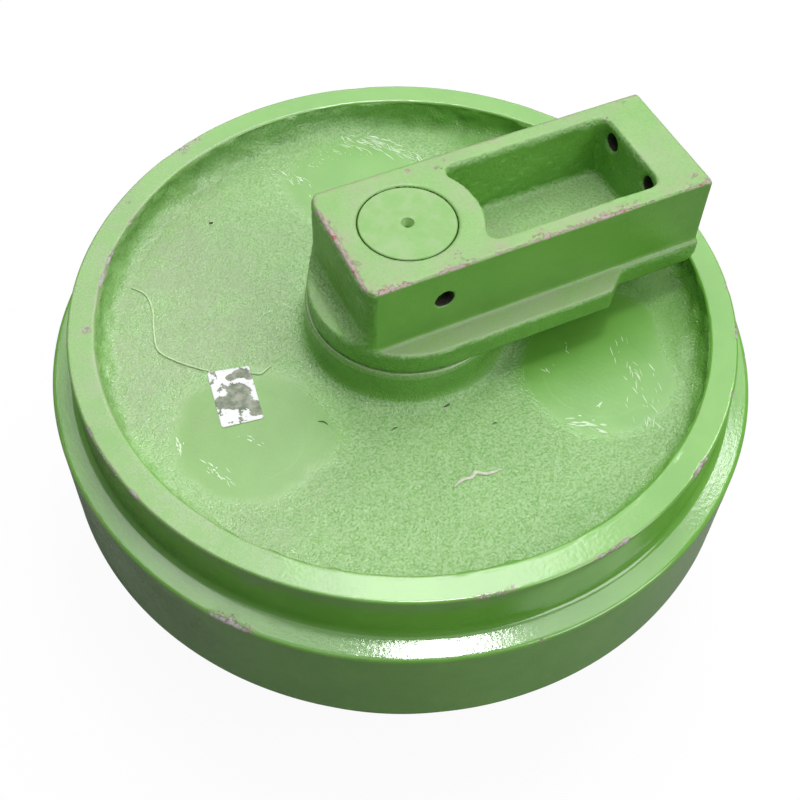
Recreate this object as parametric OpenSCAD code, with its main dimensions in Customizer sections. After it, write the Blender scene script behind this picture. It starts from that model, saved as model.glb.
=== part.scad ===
// Front idler of a crawler excavator, lying on its side with the axle upright. Millimetres.
// The origin is the centre of the wheel. +Z runs up the axle, +X from the axle to the yoke end.
// Everything above the wheel's middle plane is mirrored below it.

/* [Wheel] */
// Diameter of the two treads that the track links roll on
tread_d = 530; // [500:1:620]
// Height of the centre flange above the treads
flange_h = 20; // [12:0.5:30]
// Width of the centre flange
flange_w = 93; // [70:1:110]
// Width of the wheel across its two rim faces
wheel_w = 191; // [175:1:220]
// Thickness of the rim at its face
rim_t = 22; // [16:0.5:30]
// Thickness of the rim round the hollow core
rim_wall = 24; // [20:0.5:34]
// Depth of the dish from the rim face to the web
dish_depth = 26; // [20:0.5:32]
// Thickness of each web
web_t = 16; // [12:0.5:22]
// Height of the hub faces above the rim faces
hub_proud = 9; // [6:0.5:14]
// Wall of the hub round the seal seat
hub_wall = 10; // [7:0.5:16]
// Radius on the edges of the rim faces
rim_edge_r = 2; // [1:0.5:6]
// Radius on the edges of the centre flange
flange_edge_r = 2.5; // [1:0.5:9]
// Fillet where a tread meets the flange
tread_foot_r = 5; // [3:0.5:12]
// Fillet where the dish meets the rim
dish_r = 14; // [6:0.5:18]
// Fillet where the web meets the hub, inside and out
hub_foot_r = 12; // [6:0.5:16]
// Radius on the edge of the hub faces
hub_edge_r = 2; // [0.5:0.5:4]

/* [Core covers] */
// Diameter of a core cover
cover_d = 100; // [70:1:112]
// Thickness of a core cover
cover_t = 8; // [5:0.5:10]
// Width of the ledge that a cover rests on
cover_ledge = 6; // [4:0.5:10]
// Angle of the first cover from the yoke end
cover_angle = 78; // [0:1:119]

/* [Shaft] */
// Diameter of the fixed shaft
shaft_d = 75; // [65:0.5:85]
// How far each shaft end lies below the bracket face
shaft_recess = 0.5; // [0.2:0.1:3]
// Chamfer on the shaft ends
shaft_chamfer = 1; // [0.5:0.1:2]
// Mouth diameter of the lathe centres
centre_d = 10.4; // [6:0.1:11]
// Pilot diameter of the lathe centres
pilot_d = 4; // [2:0.1:5]
// Depth of the pilot below the centre's cone
pilot_l = 5; // [3:0.5:10]

/* [Oil filling] */
// Diameter of the oil gallery in the shaft
gallery_d = 10; // [7:0.5:12]
// Metal between the gallery and the lock pin hole
gallery_wall = 8.5; // [6:0.5:10]
// Diameter of the oil plug's head
plug_head_d = 16; // [14:0.5:17]
// Height of the oil plug's head
plug_head_h = 5; // [4.5:0.5:8]
// Length of the oil plug's shank
plug_shank_l = 14; // [8:0.5:18]
// Width across flats of the plug's hex socket
plug_socket_af = 8; // [5:0.5:9]
// Depth of the plug's hex socket
plug_socket_depth = 4; // [2:0.5:4]
// Thickness of the plug's sealing washer
washer_t = 1.5; // [1:0.1:3]
// How far the plug's head lies below the shaft end
plug_recess = 1.5; // [0.5:0.1:3]

/* [Bushes and seals] */
// Wall of the flanged bushes
bush_wall = 6; // [4:0.5:9]
// Length of a bush below its flange
bush_l = 58; // [40:1:75]
// Thickness of a bush's flange
bush_flange_t = 5; // [3:0.5:8]
// How far a bush's flange stands out past the spigot
bush_flange_lip = 2; // [1:0.1:2.5]
// End float between bush flange and spigot
end_float = 0.3; // [0.2:0.05:1]
// Radial depth of the oil space between the bushes
oil_space = 2.5; // [1.5:0.5:6]
// Wall of the bracket's spigot inside the seal
spigot_wall = 10.5; // [6:0.5:14]
// Radial gap between spigot and seal rings
seal_gap = 3; // [2.7:0.1:5]
// Radial width of a seal ring at its sealing face
seal_ring_w = 11; // [9:0.5:14]
// Thickness of a seal ring's lip
seal_lip = 3; // [2:0.1:4]
// Length of a seal ring
seal_ring_l = 13; // [12:0.1:15]
// Radial fall of a seal ring's ramp
ramp_fall = 6.5; // [5:0.1:7.5]
// Length of a seal ring's ramp along the axle
ramp_l = 7.5; // [6.5:0.1:8.5]
// Section diameter of the rubber toric rings
toric_d = 9; // [7:0.1:10]
// Section diameter of the shaft's O-rings
o_ring_d = 2.8; // [2:0.1:4]
// Height of an O-ring above the bracket's inner face
o_ring_in = 12; // [8:0.5:18]

/* [Brackets] */
// Gap between a hub face and its bracket
hub_gap = 1; // [0.6:0.1:2.5]
// Thickness of a bracket's inner plate
plate_t = 19.7; // [18.5:0.1:26]
// Height of the guide block above the plate's ledge
block_h = 63.3; // [55:0.1:80]
// Width of the guide block
block_w = 112; // [106:0.5:130]
// Distance from the axle to the yoke end
reach = 233.5; // [215:0.5:260]
// Wall of the inner plate round the seal seat
plate_wall = 8; // [6:0.5:12]
// Distance from the axle to the end of the wide plate
plate_reach = 142.5; // [110:0.5:165]
// Length of the slope from the wide plate to the narrow ledge
plate_taper = 18; // [10:1:30]
// Width of the narrow ledge beside the guide block
narrow_ledge = 4; // [2:0.5:8]
// Metal behind the shaft bore
back_wall = 20.5; // [16:0.5:26]
// Cast radius on the block's back corners, which the machined sides cut short
back_corner_r = 18; // [10:0.5:24]
// Fillet where the block's back meets the plate
shoulder_r = 14; // [6:0.5:16]
// Chamfer under the yoke end
end_chamfer = 6; // [2:0.5:8]
// Chamfer at the mouth of the shaft bore
bore_chamfer = 0.8; // [0.4:0.1:1.5]

/* [Pocket and fasteners] */
// Wall between the pocket and the shaft bore
bore_wall = 21.5; // [15:0.5:26]
// Side walls of the pocket
side_wall = 15.5; // [12:0.5:20]
// End wall of the pocket
end_wall = 39; // [25:0.5:50]
// Floor of the pocket above the seal seat
pocket_floor_t = 8.5; // [5:0.5:14]
// Radius of the pocket's corners
pocket_corner_r = 7; // [3:0.5:10]
// Diameter of the yoke bolt holes in the end wall
bolt_d = 15; // [11:0.5:18]
// Distance between the yoke bolt holes
bolt_spacing = 54; // [44:0.5:62]
// Depth of the yoke bolt holes below the outer face
bolt_drop = 16; // [12:0.5:24]
// Diameter of the lock pins through bracket and shaft
pin_d = 15; // [10:0.5:18]
// Offset of the lock pins from the axle towards the yoke end
pin_offset = 5; // [2:0.5:6]
// Depth of the lock pins below the outer face
pin_drop = 30.5; // [20:0.5:40]
// How far each lock pin end lies below the block's side
pin_recess = 10; // [2:0.5:14]
// Chamfer on the lock pin ends
pin_chamfer = 1.5; // [0.5:0.1:3]

/* [Fits] */
// Radial clearance of the bushes on the shaft
running_gap = 0.05; // [0.02:0.01:0.1]
// Radial clearance of seated rings, pins and bushes
seat_fit = 0.03; // [0.02:0.01:0.1]
// Clearance round the rubber toric rings
toric_gap = 0.1; // [0.05:0.01:0.2]
// Clearance of each seal ring from the sealing plane
seal_film = 0.05; // [0.02:0.01:0.1]
// Radial clearance round a core cover
cover_gap = 0.1; // [0.05:0.01:0.3]
// Radial clearance round the oil plug's head
plug_gap = 0.5; // [0.2:0.1:0.8]

/* [Hidden] */
$fn = 96;
// Core holes in each web
cover_count = 3;
// How far a cut runs past the face that it opens
cut = 1;
// How far a fillet runs into the walls that it joins
lap = 0.01;

paint = [0.42, 0.68, 0.34];
pale_paint = [0.55, 0.76, 0.46];
steel = [0.62, 0.63, 0.65];
seal_iron = [0.38, 0.39, 0.41];
bronze = [0.72, 0.55, 0.28];
rubber = [0.12, 0.12, 0.13];
copper = [0.75, 0.45, 0.3];

// Radii from the shaft outwards
shaft_r = shaft_d / 2;
bore_r = shaft_r + running_gap;
bush_r = bore_r + bush_wall;
spigot_r = bore_r + spigot_wall;
bush_flange_r = spigot_r + bush_flange_lip;
seal_bore_r = spigot_r + seal_gap;
seal_r = seal_bore_r + seal_ring_w;

// The ramp of a seal ring as radius and distance from the sealing plane, and the seat parallel to it
ramp_normal = [ramp_l, ramp_fall] / norm([ramp_l, ramp_fall]);
ramp_top = [seal_r, seal_lip];
ramp_foot = ramp_top + [-ramp_fall, ramp_l];
seat_space = toric_d + 2 * toric_gap;
seat_top = ramp_top + ramp_normal * seat_space;
seat_foot = ramp_foot + ramp_normal * seat_space;
toric_centre = (ramp_top + ramp_foot + ramp_normal * seat_space) / 2;

hub_r = seat_top[0] + hub_wall;
tread_r = tread_d / 2;
flange_r = tread_r + flange_h;
rim_in_r = tread_r - rim_t;
core_r = tread_r - rim_wall;
cover_pitch_r = (hub_r + rim_in_r) / 2;

// Heights above the wheel's middle plane
flange_z = flange_w / 2;
rim_z = wheel_w / 2;
web_z = rim_z - dish_depth;
core_z = web_z - web_t;
hub_z = rim_z + hub_proud;
inner_z = hub_z + hub_gap;
seal_z = hub_z + hub_gap / 2;
seat_z = seal_z - seat_foot[1];
bush_in_z = seat_z - bush_l;
spigot_z = seat_z + bush_flange_t + end_float;
ledge_z = inner_z + plate_t;
outer_z = ledge_z + block_h;
shaft_end_z = outer_z - shaft_recess;
floor_z = seal_z + seat_foot[1] + pocket_floor_t;
pin_z = outer_z - pin_drop;
bolt_z = outer_z - bolt_drop;
o_ring_z = inner_z + o_ring_in;

// Places across the bracket
block_half = block_w / 2;
block_back = -(shaft_r + back_wall);
plate_half = seat_top[0] + plate_wall;
narrow_half = block_half + narrow_ledge;
pocket_half = block_half - side_wall;
pocket_arc_r = shaft_r + bore_wall;
pocket_end = reach - end_wall;

// Places in the shaft
gallery_r = gallery_d / 2;
gallery_x = pin_offset - pin_d / 2 - gallery_wall - gallery_r;
groove_r = shaft_r - o_ring_d - 2 * seat_fit;
groove_w = o_ring_d * 1.4;
plug_seat_l = plug_recess + plug_head_h + washer_t;

// Mirrors what lies above the middle plane to the named side
module on_side(upper) {
    mirror([0, 0, upper ? 0 : 1]) children();
}

// The corner between two walls at right angles and the arc that joins them
module corner_sliver(r) {
    difference() {
        translate([-lap, -lap]) square(r + lap);
        translate([r, r]) circle(r);
    }
}

// Wheel

// Section of the wheel above its middle plane, solid to the axis
module wheel_half_section() {
    difference() {
        union() {
            square([flange_r, flange_z]);
            translate([rim_in_r, 0]) square([rim_t, rim_z]);
            square([tread_r, web_z]);
            square([hub_r, hub_z]);
            translate([tread_r, flange_z]) corner_sliver(tread_foot_r);
            translate([rim_in_r, web_z]) mirror([1, 0]) corner_sliver(dish_r);
            translate([hub_r, web_z]) corner_sliver(hub_foot_r);
        }
        translate([flange_r, flange_z]) rotate(180) corner_sliver(flange_edge_r);
        translate([tread_r, rim_z]) rotate(180) corner_sliver(rim_edge_r);
        translate([rim_in_r, rim_z]) mirror([0, 1]) corner_sliver(rim_edge_r);
        translate([hub_r, hub_z]) rotate(180) corner_sliver(hub_edge_r);
    }
}

// Section of the hollow between the webs
module core_section() {
    difference() {
        translate([hub_r, -core_z]) square([core_r - hub_r, 2 * core_z]);
        for (flip = [0, 1]) mirror([0, flip]) {
            translate([hub_r, -core_z]) corner_sliver(hub_foot_r);
            translate([core_r, -core_z]) mirror([1, 0]) corner_sliver(dish_r);
        }
    }
}

// Space that a seal ring and its toric ring work in, from the sealing plane into the housing
module seal_seat() {
    rotate_extrude()
        polygon([
            [0, -cut],
            [seat_top[0], -cut],
            seat_top,
            seat_foot,
            [0, seat_foot[1]]
        ]);
}

// Places something at the web face over each core hole
module at_cover(index) {
    rotate(cover_angle + index * 360 / cover_count)
        translate([cover_pitch_r, 0, web_z])
            children();
}

// Stepped hole in a web that a core cover closes
module core_hole() {
    translate([0, 0, -cover_t]) cylinder(d = cover_d + 2 * cover_gap, h = cover_t + cut);
    translate([0, 0, -web_t - cut]) cylinder(d = cover_d - 2 * cover_ledge, h = web_t + cut);
}

module idler_wheel() {
    color(paint)
    difference() {
        rotate_extrude() {
            wheel_half_section();
            mirror([0, 1]) wheel_half_section();
        }
        rotate_extrude() core_section();
        cylinder(r = bush_r + seat_fit, h = 2 * hub_z, center = true);
        cylinder(r = bush_r + oil_space, h = 2 * (bush_in_z - oil_space), center = true);
        for (upper = [true, false]) on_side(upper) {
            translate([0, 0, seal_z]) mirror([0, 0, 1]) seal_seat();
            for (index = [0 : cover_count - 1]) at_cover(index) core_hole();
        }
    }
}

module core_cover(upper, index) {
    color(pale_paint)
    on_side(upper) at_cover(index) translate([0, 0, -cover_t]) cylinder(d = cover_d, h = cover_t);
}

// Bushes and seals

module flanged_bush(upper) {
    color(bronze)
    on_side(upper)
    difference() {
        union() {
            translate([0, 0, bush_in_z]) cylinder(r = bush_r, h = bush_l + lap);
            translate([0, 0, seat_z]) cylinder(r = bush_flange_r, h = bush_flange_t);
        }
        cylinder(r = bore_r, h = outer_z);
    }
}

// Places something on the sealing plane, facing into the bracket or into the hub
module at_seal(upper, in_bracket) {
    on_side(upper)
        translate([0, 0, seal_z])
            mirror([0, 0, in_bracket ? 0 : 1])
                children();
}

module seal_ring(upper, in_bracket) {
    color(seal_iron)
    at_seal(upper, in_bracket)
    rotate_extrude()
        polygon([
            [seal_bore_r, seal_film],
            [seal_r, seal_film],
            ramp_top,
            ramp_foot,
            [ramp_foot[0], seal_ring_l],
            [seal_bore_r, seal_ring_l]
        ]);
}

module toric(upper, in_bracket) {
    color(rubber)
    at_seal(upper, in_bracket)
    rotate_extrude() translate(toric_centre) circle(d = toric_d);
}

module shaft_o_ring(upper) {
    color(rubber)
    on_side(upper)
    translate([0, 0, o_ring_z])
    rotate_extrude() translate([groove_r + seat_fit + o_ring_d / 2, 0]) circle(d = o_ring_d);
}

// Shaft

// Lathe centre in a shaft end: a sixty degree cone and a pilot hole
module lathe_centre() {
    cone_l = (centre_d - pilot_d) / 2 / tan(30);
    rotate_extrude()
        polygon([
            [0, -cone_l - pilot_l],
            [pilot_d / 2, -cone_l - pilot_l],
            [pilot_d / 2, -cone_l],
            [centre_d / 2, 0],
            [centre_d / 2, cut],
            [0, cut]
        ]);
}

// Gallery from the lower shaft end to the middle, its outlet and the seat of its plug
module oil_gallery() {
    translate([gallery_x, 0, -shaft_end_z - cut]) cylinder(d = gallery_d, h = shaft_end_z + cut + gallery_r);
    translate([gallery_x, 0, 0]) rotate([0, -90, 0]) cylinder(d = gallery_d, h = shaft_r);
    translate([gallery_x, 0, -shaft_end_z - cut])
        cylinder(d = plug_head_d + 2 * plug_gap, h = plug_seat_l + cut);
}

// Hole or pin along Y through bracket and shaft
module along_pin() {
    translate([pin_offset, 0, pin_z]) rotate([90, 0, 0]) children();
}

module shaft() {
    color(pale_paint)
    difference() {
        rotate_extrude()
            polygon([
                [0, -shaft_end_z],
                [shaft_r - shaft_chamfer, -shaft_end_z],
                [shaft_r, -shaft_end_z + shaft_chamfer],
                [shaft_r, shaft_end_z - shaft_chamfer],
                [shaft_r - shaft_chamfer, shaft_end_z],
                [0, shaft_end_z]
            ]);
        for (upper = [true, false]) on_side(upper) {
            translate([0, 0, shaft_end_z]) lathe_centre();
            along_pin() cylinder(d = pin_d, h = shaft_d + 2 * cut, center = true);
            translate([0, 0, o_ring_z])
                rotate_extrude()
                    translate([groove_r, -groove_w / 2]) square([shaft_r, groove_w]);
        }
        oil_gallery();
    }
}

module lock_pin(upper) {
    pin_half = block_half - pin_recess;
    pin_r = pin_d / 2 - seat_fit;
    color(steel)
    on_side(upper)
    along_pin()
    rotate_extrude()
        polygon([
            [0, -pin_half],
            [pin_r - pin_chamfer, -pin_half],
            [pin_r, -pin_half + pin_chamfer],
            [pin_r, pin_half - pin_chamfer],
            [pin_r - pin_chamfer, pin_half],
            [0, pin_half]
        ]);
}

// Places something in the plug's seat, with +Z out of the lower shaft end
module at_plug_seat() {
    translate([gallery_x, 0, -shaft_end_z + plug_seat_l]) mirror([0, 0, 1]) children();
}

module plug_washer() {
    color(copper)
    at_plug_seat()
    difference() {
        cylinder(d = plug_head_d, h = washer_t);
        translate([0, 0, -cut]) cylinder(d = gallery_d, h = washer_t + 2 * cut);
    }
}

module oil_plug() {
    color(steel)
    at_plug_seat()
    difference() {
        union() {
            translate([0, 0, washer_t]) cylinder(d = plug_head_d, h = plug_head_h);
            translate([0, 0, -plug_shank_l])
                cylinder(r = gallery_r - seat_fit, h = plug_shank_l + washer_t + lap);
        }
        translate([0, 0, washer_t + plug_head_h - plug_socket_depth])
            cylinder(d = plug_socket_af / cos(30), h = plug_socket_depth + cut, $fn = 6);
    }
}

// Brackets

// Outline of the inner plate: round the axle, then wide, then a narrow ledge to the yoke end
module plate_outline() {
    circle(plate_half);
    polygon([
        [0, -plate_half],
        [plate_reach, -plate_half],
        [plate_reach + plate_taper, -narrow_half],
        [reach, -narrow_half],
        [reach, narrow_half],
        [plate_reach + plate_taper, narrow_half],
        [plate_reach, plate_half],
        [0, plate_half]
    ]);
}

// Outline of the guide block: a casting as wide as the narrow ledge, with its two sides machined flat
module block_outline() {
    intersection() {
        difference() {
            translate([block_back, -narrow_half]) square([reach - block_back, 2 * narrow_half]);
            for (flip = [0, 1]) mirror([0, flip])
                translate([block_back, -narrow_half]) corner_sliver(back_corner_r);
        }
        translate([block_back - cut, -block_half]) square([reach - block_back + 2 * cut, block_w]);
    }
}

// Outline of the pocket, which curves round the shaft at its inner end
module pocket_outline() {
    fillet_y = pocket_half - pocket_corner_r;
    fillet_x = sqrt(pow(pocket_arc_r + pocket_corner_r, 2) - pow(fillet_y, 2));
    touch_y = fillet_y * pocket_arc_r / (pocket_arc_r + pocket_corner_r);
    difference() {
        translate([0, -pocket_half]) square([pocket_end, 2 * pocket_half]);
        circle(pocket_arc_r);
        for (flip = [0, 1]) mirror([0, flip]) {
            translate([pocket_end, -pocket_half]) mirror([1, 0]) corner_sliver(pocket_corner_r);
            difference() {
                translate([0, touch_y]) square([fillet_x, pocket_half]);
                translate([fillet_x, fillet_y]) circle(pocket_corner_r);
            }
        }
    }
}

// Fillet between the block's back and the round end of the plate
module back_shoulder() {
    intersection() {
        translate([0, 0, inner_z]) cylinder(r = plate_half, h = plate_t + shoulder_r);
        translate([block_back, 0, ledge_z])
            rotate([90, 0, 0])
                linear_extrude(2 * plate_half, center = true)
                    mirror([1, 0]) corner_sliver(shoulder_r);
    }
}

module bracket_casting() {
    translate([0, 0, inner_z]) linear_extrude(plate_t) plate_outline();
    translate([0, 0, inner_z]) linear_extrude(plate_t + block_h) block_outline();
    back_shoulder();
}

// Prism cut off under the yoke end
module end_chamfer_cut() {
    translate([reach, 0, inner_z])
        rotate([90, 0, 0])
            linear_extrude(2 * plate_half, center = true)
                polygon([[-end_chamfer - cut, -cut], [cut, -cut], [cut, end_chamfer + cut]]);
}

module bracket(upper) {
    color(paint)
    on_side(upper)
    difference() {
        union() {
            difference() {
                bracket_casting();
                translate([0, 0, seal_z]) seal_seat();
            }
            translate([0, 0, spigot_z]) cylinder(r = spigot_r, h = ledge_z - spigot_z);
        }
        cylinder(r = bore_r, h = outer_z + cut);
        translate([0, 0, outer_z - bore_chamfer])
            cylinder(r1 = bore_r, r2 = bore_r + bore_chamfer + cut, h = bore_chamfer + cut);
        translate([0, 0, floor_z]) linear_extrude(outer_z - floor_z + cut) pocket_outline();
        along_pin() cylinder(d = pin_d, h = block_w + 2 * cut, center = true);
        for (side = [-1, 1])
            translate([pocket_end - cut, side * bolt_spacing / 2, bolt_z])
                rotate([0, 90, 0]) cylinder(d = bolt_d, h = end_wall + 2 * cut);
        end_chamfer_cut();
    }
}

idler_wheel();
core_cover(true, 0);  // upper_core_cover_1
core_cover(true, 1);  // upper_core_cover_2
core_cover(true, 2);  // upper_core_cover_3
core_cover(false, 0);  // lower_core_cover_1
core_cover(false, 1);  // lower_core_cover_2
core_cover(false, 2);  // lower_core_cover_3
flanged_bush(true);  // upper_bush
flanged_bush(false);  // lower_bush
seal_ring(true, false);  // upper_hub_seal_ring
seal_ring(false, false);  // lower_hub_seal_ring
toric(true, false);  // upper_hub_toric
toric(false, false);  // lower_hub_toric
shaft();
bracket(true);  // upper_bracket
bracket(false);  // lower_bracket
seal_ring(true, true);  // upper_bracket_seal_ring
seal_ring(false, true);  // lower_bracket_seal_ring
toric(true, true);  // upper_bracket_toric
toric(false, true);  // lower_bracket_toric
shaft_o_ring(true);  // upper_shaft_o_ring
shaft_o_ring(false);  // lower_shaft_o_ring
lock_pin(true);  // upper_lock_pin
lock_pin(false);  // lower_lock_pin
oil_plug();
plug_washer();
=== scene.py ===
"""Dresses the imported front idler: castings, paint, marks on the web, studio and camera.

Sizes are in millimetres in the part's own frame, with the axle along Z.
They become metres when a mesh is made.
"""
import logging
import math
from dataclasses import dataclass, field
from enum import Enum
from typing import Sequence

import bmesh
import bpy
import numpy as np
from mathutils import Matrix


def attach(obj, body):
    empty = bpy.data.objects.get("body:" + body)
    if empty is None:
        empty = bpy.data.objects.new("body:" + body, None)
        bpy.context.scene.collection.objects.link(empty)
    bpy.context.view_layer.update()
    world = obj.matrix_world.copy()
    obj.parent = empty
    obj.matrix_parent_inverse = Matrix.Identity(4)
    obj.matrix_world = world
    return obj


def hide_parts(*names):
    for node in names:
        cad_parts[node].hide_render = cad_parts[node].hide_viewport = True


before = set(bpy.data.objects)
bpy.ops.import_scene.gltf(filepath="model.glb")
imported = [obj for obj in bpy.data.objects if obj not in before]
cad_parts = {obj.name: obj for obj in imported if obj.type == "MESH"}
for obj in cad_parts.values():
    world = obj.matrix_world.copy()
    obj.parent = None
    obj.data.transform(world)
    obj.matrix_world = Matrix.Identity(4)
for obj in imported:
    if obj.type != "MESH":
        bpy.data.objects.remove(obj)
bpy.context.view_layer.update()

MM = 0.001
DISH_R = 243.0
WEB_Z = 69.5
LOG = logging.getLogger("idler")

Colour = tuple[float, float, float]
Point = tuple[float, float]


class Body(Enum):
    """The two bodies of the idler."""

    AXLE = "axle"
    WHEEL = "wheel"


class Side(Enum):
    """The two mirrored sides of the idler, with the sign of their height."""

    UPPER = 1
    LOWER = -1

    @property
    def word(self) -> str:
        """The side's word in the names of nodes and pieces."""
        return self.name.lower()


class Skin(Enum):
    """How a ring of the turned section is finished."""

    HIDDEN = 0
    TURNED = 1
    CAST = 2
    INNER_EDGE = 3
    OUTER_EDGE = 4
    FLANGE_EDGE = 5
    FLANGE_SIDE = 6


def smooth_step(low: float, high: float, value: np.ndarray) -> np.ndarray:
    """Ramps smoothly from 0 at low to 1 at high.

    Args:
        low: Value at which the ramp starts.
        high: Value at which it ends; it may be below low.
        value: Values to ramp.

    Returns:
        The ramped values.
    """
    share = np.clip((value - low) / (high - low), 0.0, 1.0)
    return share * share * (3.0 - 2.0 * share)


def leftward(points: np.ndarray) -> np.ndarray:
    """How far each point lies to the left, where dust lies thicker and the wheel's wall has painted shade,
    from about -1 to 1 across the dish.
    """
    return (-0.92 * points[:, 0] + 0.20 * points[:, 1]) / DISH_R


@dataclass(frozen=True)
class Grain:
    """Seeded gradient noise in three dimensions."""

    seed: int

    def at(self, points: np.ndarray, size: float) -> np.ndarray:
        """Noise of one size.

        Args:
            points: Points, one row each.
            size: Length of one wave, in the points' unit.

        Returns:
            One value for each point, from about -0.7 to 0.7.
        """
        draw = np.random.default_rng(self.seed)
        order = draw.permutation(256)
        slopes = draw.normal(size=(256, 3))
        slopes /= np.linalg.norm(slopes, axis=1)[:, None]
        scaled = points / size
        cell = np.floor(scaled).astype(np.int64)
        inside = scaled - cell
        ease = inside ** 3 * (inside * (inside * 6.0 - 15.0) + 10.0)
        total = np.zeros(len(points))
        for corner in np.ndindex(2, 2, 2):
            step = np.array(corner)
            key = (cell + step) & 255
            slope = slopes[order[(order[(order[key[:, 0]] + key[:, 1]) & 255] + key[:, 2]) & 255]]
            share = np.prod(np.where(step == 1, ease, 1.0 - ease), axis=1)
            total += share * np.sum(slope * (inside - step), axis=1)
        return total

    def layered(self, points: np.ndarray, size: float, layers: int, gain: float = 0.5) -> np.ndarray:
        """Noise of several sizes, each half as long as the one before.

        Args:
            points: Points, one row each.
            size: Length of the longest wave.
            layers: Number of sizes.
            gain: Height of each size against the one before.

        Returns:
            One value for each point.
        """
        return sum(gain ** k * Grain(self.seed + k).at(points, size / 2 ** k) for k in range(layers))


class NodeBoard:
    """A material's node tree, with short calls for the nodes that the finishes use."""

    def __init__(self, name: str) -> None:
        """Starts an empty material with a shader and its output.

        Args:
            name: Name of the material.
        """
        self.material = bpy.data.materials.new(name)
        self.material.use_nodes = True
        self.tree = self.material.node_tree
        self.tree.nodes.clear()
        self.output = self.tree.nodes.new("ShaderNodeOutputMaterial")
        self.shader = self.tree.nodes.new("ShaderNodeBsdfPrincipled")
        self.link(self.shader.outputs["BSDF"], self.output.inputs["Surface"])
        self.place = self.tree.nodes.new("ShaderNodeTexCoord").outputs["Object"]

    def link(self, source: bpy.types.NodeSocket, target: bpy.types.NodeSocket) -> None:
        """Links two sockets."""
        self.tree.links.new(source, target)

    def feed(self, target: bpy.types.NodeSocket, value: object) -> None:
        """Gives a socket a link where the value is a socket, or else a constant.

        Args:
            target: Socket to feed.
            value: Socket, number or tuple.
        """
        if isinstance(value, bpy.types.NodeSocket):
            self.link(value, target)
        elif isinstance(value, tuple):
            target.default_value = (*value, 1.0) if len(value) == 3 and target.type == "RGBA" else value
        else:
            target.default_value = value

    def attribute(self, name: str) -> bpy.types.NodeSocket:
        """The value of a mesh attribute.

        Args:
            name: Name of the attribute.

        Returns:
            The value's socket.
        """
        node = self.tree.nodes.new("ShaderNodeAttribute")
        node.attribute_name = name
        return node.outputs["Fac"]

    def polar(self, turn: float) -> bpy.types.NodeSocket:
        """Coordinates of radius, shortened turn and height round the axle, for streaks that run round it.

        Args:
            turn: Length of one radian in metres; a small value gives long streaks.

        Returns:
            The vector's socket.
        """
        split = self.tree.nodes.new("ShaderNodeSeparateXYZ")
        self.link(self.place, split.inputs["Vector"])
        x, y, z = (split.outputs[k] for k in range(3))
        joined = self.tree.nodes.new("ShaderNodeCombineXYZ")
        squares = self.math("ADD", self.math("MULTIPLY", x, x), self.math("MULTIPLY", y, y))
        self.link(self.math("SQRT", squares), joined.inputs[0])
        self.link(self.math("MULTIPLY", self.math("ARCTAN2", y, x), turn), joined.inputs[1])
        self.link(z, joined.inputs[2])
        return joined.outputs["Vector"]

    def noise(self, size: float, detail: float = 2.0, rough: float = 0.5, twist: float = 0.0,
              place: bpy.types.NodeSocket | None = None) -> bpy.types.NodeSocket:
        """Noise between 0 and 1.

        Args:
            size: Length of one wave in millimetres.
            detail: Number of finer layers.
            rough: Height of the finer layers.
            twist: Distortion of the pattern.
            place: Coordinates in place of the object's own.

        Returns:
            The noise value's socket.
        """
        node = self.tree.nodes.new("ShaderNodeTexNoise")
        self.link(place or self.place, node.inputs["Vector"])
        node.inputs["Scale"].default_value = 1.0 / (size * MM)
        node.inputs["Detail"].default_value = detail
        node.inputs["Roughness"].default_value = rough
        node.inputs["Distortion"].default_value = twist
        return node.outputs["Fac"]

    def math(self, operation: str, first: object, second: object = 0.0) -> bpy.types.NodeSocket:
        """One sum on two values, each a socket or a number.

        Args:
            operation: Name of the sum in Blender.
            first: First value.
            second: Second value.

        Returns:
            The result's socket.
        """
        node = self.tree.nodes.new("ShaderNodeMath")
        node.operation = operation
        self.feed(node.inputs[0], first)
        self.feed(node.inputs[1], second)
        return node.outputs["Value"]

    def ramp(self, value: bpy.types.NodeSocket, low: float, high: float, start: float = 0.0,
             end: float = 1.0) -> bpy.types.NodeSocket:
        """Maps a value smoothly from low and high to start and end.

        Args:
            value: Value to map.
            low: Value that gives start.
            high: Value that gives end.
            start: Result at low.
            end: Result at high.

        Returns:
            The result's socket.
        """
        node = self.tree.nodes.new("ShaderNodeMapRange")
        node.interpolation_type = "SMOOTHSTEP"
        self.link(value, node.inputs["Value"])
        for name, number in (("From Min", low), ("From Max", high), ("To Min", start), ("To Max", end)):
            node.inputs[name].default_value = number
        return node.outputs["Result"]

    def mix(self, share: object, first: object, second: object) -> bpy.types.NodeSocket:
        """Mixes two colours by a share.

        Args:
            share: Share of the second.
            first: Socket or constant.
            second: Socket or constant.

        Returns:
            The mix's socket.
        """
        node = self.tree.nodes.new("ShaderNodeMix")
        node.data_type = "RGBA"
        self.feed(node.inputs[0], share)
        self.feed(node.inputs[6], first)
        self.feed(node.inputs[7], second)
        return node.outputs[2]

    def blend(self, share: object, first: object, second: object) -> bpy.types.NodeSocket:
        """Mixes two numbers by a share.

        Args:
            share: Share of the second.
            first: Socket or constant.
            second: Socket or constant.

        Returns:
            The mix's socket.
        """
        node = self.tree.nodes.new("ShaderNodeMix")
        node.data_type = "FLOAT"
        self.feed(node.inputs[0], share)
        self.feed(node.inputs[2], first)
        self.feed(node.inputs[3], second)
        return node.outputs[0]

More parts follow.
